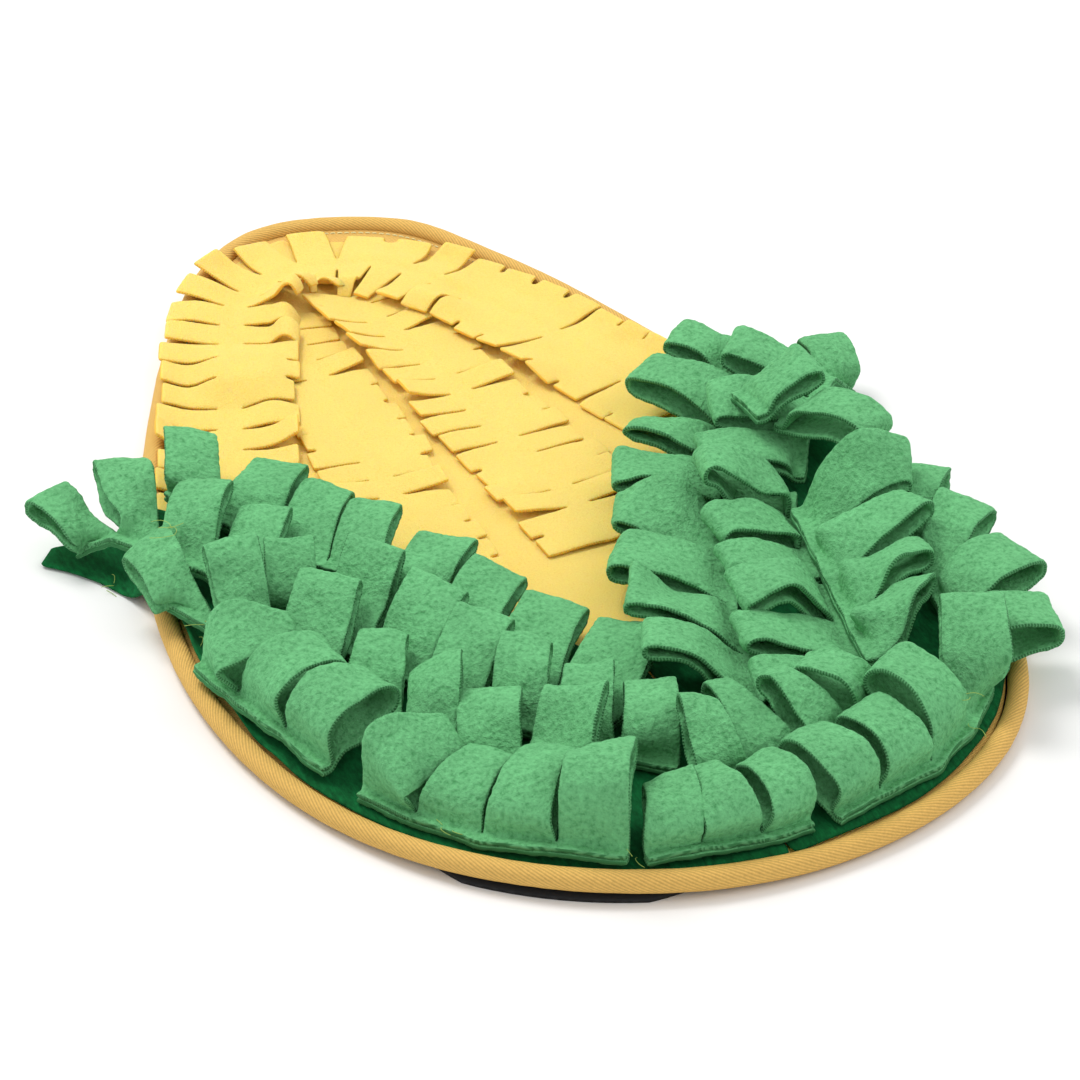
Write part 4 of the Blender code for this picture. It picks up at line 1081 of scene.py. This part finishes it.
def level_fingers(strip, table, rows):
    """Neighbouring fingers lie level, unless one of them is curled."""
    for i in range(strip["count"] - 1):
        if i in strip["curled"] or i + 1 in strip["curled"]:
            continue
        for row in range(rows):
            a, b = np.array(table[i, 1, row]), np.array(table[i + 1, 0, row])
            if abs(a[2] - b[2]) < LEVEL_LIMIT:
                a[2] = b[2] = (a[2] + b[2]) / 2
                table[i, 1, row], table[i + 1, 0, row] = tuple(a), tuple(b)


def finger_pair(coarse, counts, seed, ruffled):
    """Fine grid of two fingers and the seam between them, uneven in length, curl and sway."""
    chance = np.random.default_rng(seed)
    grid = smooth_rows(coarse, counts)
    last = len(grid) - 1
    spread = np.abs(np.linspace(-1, 1, last + 1))
    normals = grid_normals(grid)
    if normals[last // 2, 1, 2] < 0:
        normals = -normals
    right_curl, left_curl = (chance.uniform(*FRINGE_CURLS) for _ in range(2))
    curl = np.where(np.arange(last + 1) < last / 2, right_curl, left_curl)
    lift = curl * FRINGE_CURL * np.clip(spread - 0.5, 0, 1) ** 2 * 4
    waves = ripple(grid, RIPPLE_SIZE, seed) * FRINGE_RIPPLE * spread[:, None]
    grid = grid + normals * (lift[:, None] + waves)[..., None]
    for end, start in ((0, counts[0]), (last, last - counts[-1])):
        shrink = chance.uniform(0, FRINGE_UNEVEN)
        sway = chance.uniform(-1, 1) * FRINGE_SWAY
        run = np.arange(min(end, start), max(end, start) + 1)
        share = (np.abs(run - start) / abs(end - start))[:, None, None]
        side = grid[start, -1] - grid[start, 0]
        side = side / np.linalg.norm(side)
        base = grid[start][None]
        grid[run] = base + (grid[run] - base) * (1 - shrink * share) + side * sway * share ** 2
        if end and ruffled:
            height = chance.uniform(0.5, 1) * RUFFLE
            grid[run, :, 2] += (height * np.sin(share * math.pi) - RUFFLE_DROP * share ** 2)[..., 0]
            grid[run] += side * chance.uniform(-1, 1) * RUFFLE * share ** 2
    return grid


def yellow_piece(name, strip, table, materials):
    """A strip slit from both sides, sewn down along its middle."""
    count, half = strip["count"], len(strip["bends"]) + 1
    level_fingers(strip, table, 2 * half + 2)
    per_span = FRINGE_ROWS if strip["bends"] else 2 * FRINGE_ROWS
    counts = [per_span] * half + [SEAM_ROWS] + [per_span] * half
    middle = sum(counts[:half])
    lowest = PANEL_TOP + GAP + FRINGE_THICK / 2
    grids = []
    for i in range(count):
        coarse = cell_grid(table, i, 2 * half + 2, FRINGE_COLUMNS)
        seed = sum(map(ord, name)) + 31 * i
        grid = finger_pair(coarse, counts, seed, i in RUFFLED.get(name, ()))
        grid[middle + 1:middle + SEAM_ROWS, :, 2] -= SEAM_GROOVE
        grid[..., 2] = np.maximum(grid[..., 2], lowest)
        grids.append(grid)
    closed = np.random.default_rng(len(name)).uniform(size=(count + 1, 2)) < FRINGE_CLOSED

    def joined(cell):
        """The seam, and the slits that lie shut but for their ends."""
        rows_of = set(range(middle, middle + SEAM_ROWS + 1))
        if not {cell, cell - 1} & set(strip["curled"]):
            if closed[cell, 0]:
                rows_of |= set(range(FRINGE_OPEN_END, middle))
            if closed[cell, 1]:
                rows_of |= set(range(middle, len(grids[0]) - FRINGE_OPEN_END))
        return rows_of

    piece = sheet_object(name, grids, joined, FRINGE_THICK, materials, FRINGE_GRAIN)
    return piece


def leaf_piece(name, grid, materials):
    """A felt leaf, smoothed between the points where it was laid."""
    fine = smooth_rows(grid, [LEAF_FINE] * (len(grid) - 1))
    fine = smooth_rows(fine.transpose(1, 0, 2), [LEAF_FINE] * LEAF_CELLS).transpose(1, 0, 2)
    fine[..., 2] += ripple(fine, LEAF_RIPPLE_SIZE, 3) * LEAF_RIPPLE
    onward = fine[0] - fine[1]
    fine[0] += onward / np.linalg.norm(onward, axis=-1, keepdims=True) * MEETING_REACH
    for edge, inner, reach in ((0, 1, FELT_REACH), (-1, -2, 0.0)):
        frayed = ripple(fine[:, [edge]], FRAY_SIZE, 9)[:, 0]
        fine[:, edge] += outward(fine, edge, inner) * (reach + frayed * FRAY)[:, None]
    piece = sheet_object(name, [fine], lambda cell: (), FELT_THICK, materials)
    return piece


def nodes_of(material):
    return material.node_tree.nodes, material.node_tree.links


def new_material(name, roughness, sheen=0.0, sheen_tint=(1, 1, 1, 1), specular=0.3):
    material = bpy.data.materials.new(name)
    material.use_nodes = True
    shader = material.node_tree.nodes["Principled BSDF"]
    shader.inputs["Roughness"].default_value = roughness
    shader.inputs["Specular IOR Level"].default_value = specular
    shader.inputs["Sheen Weight"].default_value = sheen
    shader.inputs["Sheen Roughness"].default_value = 0.5
    shader.inputs["Sheen Tint"].default_value = sheen_tint
    return material


def add_texture(material, kind, coords, settings, turn=0.0, stretch=(1, 1, 1)):
    """A texture on turned and stretched coordinates, with its sockets set by name."""
    nodes, links = nodes_of(material)
    place = nodes.new("ShaderNodeTexCoord")
    mapping = nodes.new("ShaderNodeMapping")
    mapping.inputs["Rotation"].default_value = (0, 0, turn)
    mapping.inputs["Scale"].default_value = stretch
    links.new(place.outputs[coords], mapping.inputs["Vector"])
    texture = nodes.new("ShaderNodeTex" + kind)
    for socket, value in settings.items():
        texture.inputs[socket].default_value = value
    links.new(mapping.outputs["Vector"], texture.inputs["Vector"])
    return texture


def add_noise(material, scale, detail, rough, stretch=(1, 1, 1)):
    settings = {"Scale": scale, "Detail": detail, "Roughness": rough}
    return add_texture(material, "Noise", "Object", settings, stretch=stretch).outputs["Fac"]


def add_wave(material, pitch, turn=0.0, distortion=0.0):
    """Bands of a woven or knitted rib, across the cloth's own length."""
    settings = {"Scale": 2 * math.pi / (20 * pitch), "Distortion": distortion, "Detail": 1.0}
    return add_texture(material, "Wave", "UV", settings, turn).outputs["Fac"]


def add_ramp(material, value, stops):
    nodes, links = nodes_of(material)
    ramp = nodes.new("ShaderNodeValToRGB")
    elements = ramp.color_ramp.elements
    for element, (place, colour) in zip(elements, (stops[0], stops[-1])):
        element.position = place
        element.color = (*colour, 1)
    for place, colour in stops[1:-1]:
        elements.new(place).color = (*colour, 1)
    links.new(value, ramp.inputs["Fac"])
    return ramp.outputs["Color"]


def multiply(material, a, b, amount):
    nodes, links = nodes_of(material)
    mix = nodes.new("ShaderNodeMix")
    mix.data_type = "RGBA"
    mix.blend_type = "MULTIPLY"
    mix.inputs["Factor"].default_value = amount
    links.new(a, mix.inputs["A"])
    links.new(b, mix.inputs["B"])
    return mix.outputs["Result"]


def add_bump(material, height, distance, strength=1.0, before=None):
    nodes, links = nodes_of(material)
    bump = nodes.new("ShaderNodeBump")
    bump.inputs["Strength"].default_value = strength
    bump.inputs["Distance"].default_value = distance
    links.new(height, bump.inputs["Height"])
    if before is not None:
        links.new(before, bump.inputs["Normal"])
    return bump.outputs["Normal"]


def finish_material(material, colour, normal=None):
    nodes, links = nodes_of(material)
    shader = nodes["Principled BSDF"]
    links.new(colour, shader.inputs["Base Color"])
    if normal is not None:
        links.new(normal, shader.inputs["Normal"])
    return material


def plain(name, colour, roughness):
    """An evenly coloured material."""
    material = new_material(name, roughness)
    shader = material.node_tree.nodes["Principled BSDF"]
    shader.inputs["Base Color"].default_value = (*colour, 1)
    return material


def shade(colour, factor):
    return tuple(min(1.0, c * factor) for c in colour)


def fleece(name, colour, deep, sheen, patchy=0.86, tip_highlight=1.28, nap=1.6 * MM):
    """Brushed fleece: curly grain coloured from its relief, partly its own tone and partly painted shade
    in the hollows and a painted highlight on the tips; and patches pressed flat.
    """
    material = new_material(name, 0.95, sheen, (*shade(colour, 1.3), 1), 0.15)
    grain = add_noise(material, 1.05 / nap, 3.0, 0.62)
    fine = add_noise(material, 1900, 2.0, 0.7)
    patches = add_noise(material, 45, 2.0, 0.5)
    # Painted shade and highlight: the noise that raises the nap's bumps also darkens their hollows and
    # lightens their tips.
    base = add_ramp(material, grain, ((0.27, deep), (0.48, colour), (0.74, shade(colour, tip_highlight))))
    shades = add_ramp(material, patches, ((0.3, (patchy, patchy, patchy)), (0.7, (1.0, 1.0, 1.0))))
    base = multiply(material, base, shades, 1.0)
    normal = add_bump(material, grain, nap * 0.75, 0.9)
    normal = add_bump(material, fine, 0.3 * MM, 0.5, normal)
    return finish_material(material, base, normal)


def glow(material, radius, weight=0.5):
    """Light that spreads inside a loose cloth, so that its folds stay bright."""
    shader = material.node_tree.nodes["Principled BSDF"]
    shader.inputs["Subsurface Weight"].default_value = weight
    shader.inputs["Subsurface Radius"].default_value = radius
    shader.inputs["Subsurface Scale"].default_value = 1.0
    return material


def cut_edge(name, colour, deep):
    """The cut edge of knitted fleece: fine stitches side by side, coloured darker than the fleece's face
    as painted shade along the edge.
    """
    material = new_material(name, 0.9, 0.2, (*shade(colour, 1.2), 1), 0.15)
    ribs = add_wave(material, 1.3 * MM)
    # Painted shade: the lighter stripes are darkened a little further, so that the whole edge reads as
    # shaded.
    base = add_ramp(material, ribs, ((0.25, deep), (0.8, shade(colour, 0.9))))
    return finish_material(material, base, add_bump(material, ribs, 0.5 * MM, 0.8))


def twill(name, colour, deep, pitch, turn):
    """Twill cloth with slanting ribs and a little lint."""
    material = new_material(name, 0.8, 0.15, (*shade(colour, 1.2), 1), 0.3)
    ribs = add_wave(material, pitch, turn, 0.6)
    lint = add_noise(material, 900, 3.0, 0.6)
    base = add_ramp(material, ribs, ((0.1, deep), (0.7, colour)))
    shades = add_ramp(material, lint, ((0.3, (0.84, 0.84, 0.84)), (0.65, (1.0, 1.0, 1.0))))
    base = multiply(material, base, shades, 1.0)
    normal = add_bump(material, ribs, 0.22 * MM, 0.7)
    normal = add_bump(material, lint, 0.25 * MM, 0.4, normal)
    return finish_material(material, base, normal)


def felt(name, colour, deep):
    """Pressed felt with short fibres on it."""
    material = new_material(name, 0.95, 0.15, (*shade(colour, 1.6), 1), 0.15)
    fibres = add_noise(material, 500, 4.0, 0.7, (1.0, 0.35, 1.0))
    base = add_ramp(material, fibres, ((0.3, deep), (0.55, colour), (0.8, shade(colour, 1.7))))
    return finish_material(material, base, add_bump(material, fibres, 0.4 * MM, 0.6))


def grip(name):
    """Black underside cloth with raised grip dots."""
    material = new_material(name, 0.75, 0.0, (1, 1, 1, 1), 0.3)
    dots = add_texture(material, "Voronoi", "Object", {"Scale": 220, "Randomness": 0.0})
    dots = dots.outputs["Distance"]
    base = add_ramp(material, dots, ((0.2, GRIP), (0.45, GRIP_DEEP)))
    return finish_material(material, base, add_bump(material, dots, -0.8 * MM, 0.8))


def roll_piece(material):
    """The padded twill roll: a closed tube along the outline, a little uneven in height and girth."""
    path = outline(lambda angle: ROLL_RADIUS, ROLL_STEPS)
    tube = bmesh.new()
    layer = tube.loops.layers.uv.new("cloth")
    rings = []
    for k, flat in enumerate(path):
        ahead, behind = path[(k + 1) % ROLL_STEPS], path[k - 1]
        away = Vector((behind.y - ahead.y, ahead.x - behind.x)).normalized()
        wander = noise.noise(Vector((flat.x, flat.y, 0.3)) / ROLL_WANDER_SIZE)
        pucker = noise.noise(Vector((flat.x, flat.y, 0.7)) / ROLL_PUCKER_SIZE)
        radius = ROLL_RADIUS * (1 + ROLL_WANDER * wander + ROLL_PUCKER * pucker)
        height = roll_height(2 * math.pi * k / ROLL_STEPS) + ROLL_SAG * wander
        ring = []
        for turn in range(ROLL_AROUND):
            t = 2 * math.pi * turn / ROLL_AROUND
            out = flat + away * (radius * math.cos(t))
            ring.append(tube.verts.new((out.x, out.y, height + radius * math.sin(t))))
        rings.append(ring)
    girth = 2 * math.pi * ROLL_RADIUS / ROLL_AROUND
    run = 0.0
    for k, ring in enumerate(rings):
        onward = rings[(k + 1) % ROLL_STEPS]
        step = (path[(k + 1) % ROLL_STEPS] - path[k]).length
        for turn in range(ROLL_AROUND):
            up = (turn + 1) % ROLL_AROUND
            face = tube.faces.new((ring[turn], onward[turn], onward[up], ring[up]))
            spots = ((run, turn), (run + step, turn), (run + step, turn + 1), (run, turn + 1))
            for loop, (u, v) in zip(face.loops, spots):
                loop[layer].uv = (u, v * girth)
        run += step
    name = "edge_roll_cloth"
    piece = add_piece(name, mesh_from(name, tube), [material], "edge_roll")
    return piece


def border_width(angle):
    """Width of the twill that shows between the fringe and the roll, widest right of the tip."""
    off = (angle - BORDER_AT) / BORDER_SPAN
    return BORDER + (BORDER_WIDE - BORDER) * math.exp(-off * off)


def panel_piece(name, inset_at, bottom, thickness, materials):
    """A flat panel: rings from its middle to its outline, the last its border if it has two cloths."""
    edge = outline(inset_at, PANEL_STEPS)
    inner = outline(lambda angle: inset_at(angle) + border_width(angle), PANEL_STEPS)
    bordered = len(materials) > 1
    sheet = bmesh.new()
    layer = sheet.loops.layers.uv.new("cloth")
    rings = []
    for r in range(PANEL_RINGS + 1):
        within = bordered and 0 < r < PANEL_RINGS
        share = PANEL_HUB + (1 - PANEL_HUB) * r / (PANEL_RINGS - 1 if within else PANEL_RINGS)
        ring = [flat * share for flat in (inner if within else edge)]
        rings.append([sheet.verts.new((p.x, p.y, bottom + thickness / 2)) for p in ring])
    sheet.faces.new(rings[0])
    for r, (ring, beyond) in enumerate(zip(rings, rings[1:])):
        for k in range(PANEL_STEPS):
            nxt = (k + 1) % PANEL_STEPS
            face = sheet.faces.new((ring[k], beyond[k], beyond[nxt], ring[nxt]))
            face.material_index = len(materials) - 1 if r == PANEL_RINGS - 1 else 0
    for face in sheet.faces:
        for loop in face.loops:
            loop[layer].uv = loop.vert.co.xy
    piece = add_piece(name + "_cloth", mesh_from(name, sheet), materials, name)
    thicken(piece, thickness)
    return piece


def thin_tubes(name, paths, radius, material):
    """Many thin threads as one mesh; each path is a list of points."""
    threads = bmesh.new()
    for path in paths:
        rings = []
        for k, middle in enumerate(path):
            along = (path[min(k + 1, len(path) - 1)] - path[max(k - 1, 0)]).normalized()
            side = along.cross(Vector((0, 0, 1)))
            side = side.normalized() if side.length > 0.1 else Vector((1, 0, 0))
            up = side.cross(along)
            rings.append([threads.verts.new(middle + (side * a + up * b) * radius)
                          for a, b in ((1, 0), (0, 1), (-1, 0), (0, -1))])
        for below, above in zip(rings, rings[1:]):
            for corner in range(4):
                other = (corner + 1) % 4
                threads.faces.new((below[corner], below[other], above[other], above[corner]))
        threads.faces.new(rings[0])
        threads.faces.new(rings[-1])
    return add_piece(name, mesh_from(name, threads), [material])


def topstitch(material):
    """A line of stitches beside the roll, right of the tip."""
    path = outline(lambda angle: STITCH_INSET, STITCH_STEPS)
    first, last = (int(angle / (2 * math.pi) * STITCH_STEPS) for angle in (STITCH_FROM, STITCH_TO))
    run, stitches = 0.0, {}
    for k in range(first, last):
        number, place = divmod(run, STITCH + STITCH_GAP)
        if place < STITCH:
            lift = math.sin(place / STITCH * math.pi) * STITCH_RISE
            stitches.setdefault(number, []).append(Vector((path[k].x, path[k].y, PANEL_TOP + lift)))
        run += (path[k + 1] - path[k]).length
    whole = [points for points in stitches.values() if len(points) > 2]
    return thin_tubes("topstitch", whole, STITCH_RADIUS, material)


def loose_threads(pile, material):
    """Short curly threads that stick out of cut edges."""
    chance = np.random.default_rng(5)
    paths = []
    for x, y, count, longest in THREAD_TUFTS:
        for _ in range(count):
            start = np.array([x, y]) * MM + chance.uniform(-THREAD_SPREAD, THREAD_SPREAD, 2) * MM
            top = float(pile.read(np.array([start[0]]), np.array([start[1]]))[0])
            heading, bend = chance.uniform(0, 2 * math.pi), chance.uniform(-2.5, 2.5)
            length = chance.uniform(0.5, 1.0) * longest * MM
            rise = chance.uniform(0.1, 0.6)
            points, spot = [], Vector((*start, top))
            for step in range(THREAD_STEPS + 1):
                points.append(spot.copy())
                turn = heading + bend * step / THREAD_STEPS
                climb = rise * math.cos(step / THREAD_STEPS * math.pi)
                spot += Vector((math.cos(turn), math.sin(turn), climb)) * length / THREAD_STEPS
            paths.append(points)
    return thin_tubes("loose_threads", paths, THREAD_RADIUS, material)


def light(name, place, size, power, colour=(1, 1, 1)):
    lamp = bpy.data.lights.new(name, "AREA")
    lamp.size = size
    lamp.energy = power
    lamp.color = colour
    holder = bpy.data.objects.new(name, lamp)
    holder.location = place
    holder.rotation_euler = (-Vector(place)).to_track_quat("-Z", "Y").to_euler()
    bpy.context.scene.collection.objects.link(holder)


def studio():
    """Pale floor, soft light and the photograph's camera."""
    plane = bmesh.new()
    bmesh.ops.create_grid(plane, x_segments=2, y_segments=2, size=6.0)
    mesh = mesh_from("floor", plane)
    mesh.materials.append(plain("floor_paper", (0.86, 0.86, 0.86), 0.9))
    floor = bpy.data.objects.new("floor", mesh)
    bpy.context.scene.collection.objects.link(floor)
    world = bpy.data.worlds.new("studio")
    world.use_nodes = True
    world.node_tree.nodes["Background"].inputs["Color"].default_value = (1, 1, 1, 1)
    world.node_tree.nodes["Background"].inputs["Strength"].default_value = 0.8
    bpy.context.scene.world = world
    light("key", (-0.5, 0.9, 1.9), 0.9, 26, (1.0, 0.99, 0.97))
    light("fill", (1.4, -0.9, 1.5), 1.6, 8)
    camera_data = bpy.data.cameras.new("camera")
    camera_data.sensor_width = 36
    camera_data.lens = CAMERA_LENS
    camera = bpy.data.objects.new("camera", camera_data)
    camera.location = CAMERA_AT
    looks = Vector(CAMERA_LOOKS_AT) - Vector(CAMERA_AT)
    camera.rotation_euler = looks.to_track_quat("-Z", "Y").to_euler()
    bpy.context.scene.collection.objects.link(camera)
    bpy.context.scene.camera = camera
    bpy.context.scene.view_settings.view_transform = "Standard"


def build():
    """Every piece, in the order in which the mat is sewn."""
    # Fleece nap: painted shade in its hollows, and a painted highlight on its tips of 1.08 times the
    # yellow and 1.28 times the green.
    yellow = fleece("yellow_fleece", YELLOW, YELLOW_SHADE, 0.3, 0.96, 1.08, 1.0 * MM)
    # Painted shade: the yellow cut edges are coloured orange like the shade in the slits.
    yellow_cut = cut_edge("yellow_cut_edge_painted_shade", YELLOW_SHADE, YELLOW_EDGE_SHADE)
    for material in (yellow, yellow_cut):
        glow(material, YELLOW_SPREAD)
    green = fleece("green_fleece", GREEN, GREEN_SHADE, 0.35, nap=2.2 * MM)
    # Painted shade: the green cut edges are darkened into a shadowed outline round each loop.
    green_cut = cut_edge("green_cut_edge_painted_shade", shade(GREEN, 0.85), shade(GREEN_SHADE, 0.6))
    roll = twill("mustard_twill", MUSTARD, shade(MUSTARD, 0.74), 1.25 * MM, math.radians(62))
    border = twill("border_twill", shade(MUSTARD, 1.05), shade(MUSTARD, 0.85), 1.2 * MM, math.radians(70))
    dark_felt = felt("green_felt", FELT, shade(FELT, 0.5))
    pile = Pile()
    map_pad(pile)
    panel_piece("underside", underside_inset, 0, UNDERSIDE_THICK, [grip("black_grip")])
    panel_piece("top_panel", lambda angle: PANEL_INSET, UNDERSIDE_THICK + GAP, PANEL_THICK,
                [yellow, border])
    roll_piece(roll)
    for name, strip in YELLOW_STRIPS.items():
        yellow_piece(name, strip, lay_fringe(strip, pile), [yellow, yellow_cut])
    for name, sections in LEAVES.items():
        leaf_piece(name, lay_leaf(sections, pile), [dark_felt])
    for name, loops in GREEN_STRIPS.items():
        green_piece(name, loops, lay_loops(loops, pile), [green, green_cut])
    topstitch(plain("pale_thread", THREAD, 0.6))
    loose_threads(pile, plain("loose_thread", LOOSE_THREAD, 0.7))


build()
studio()
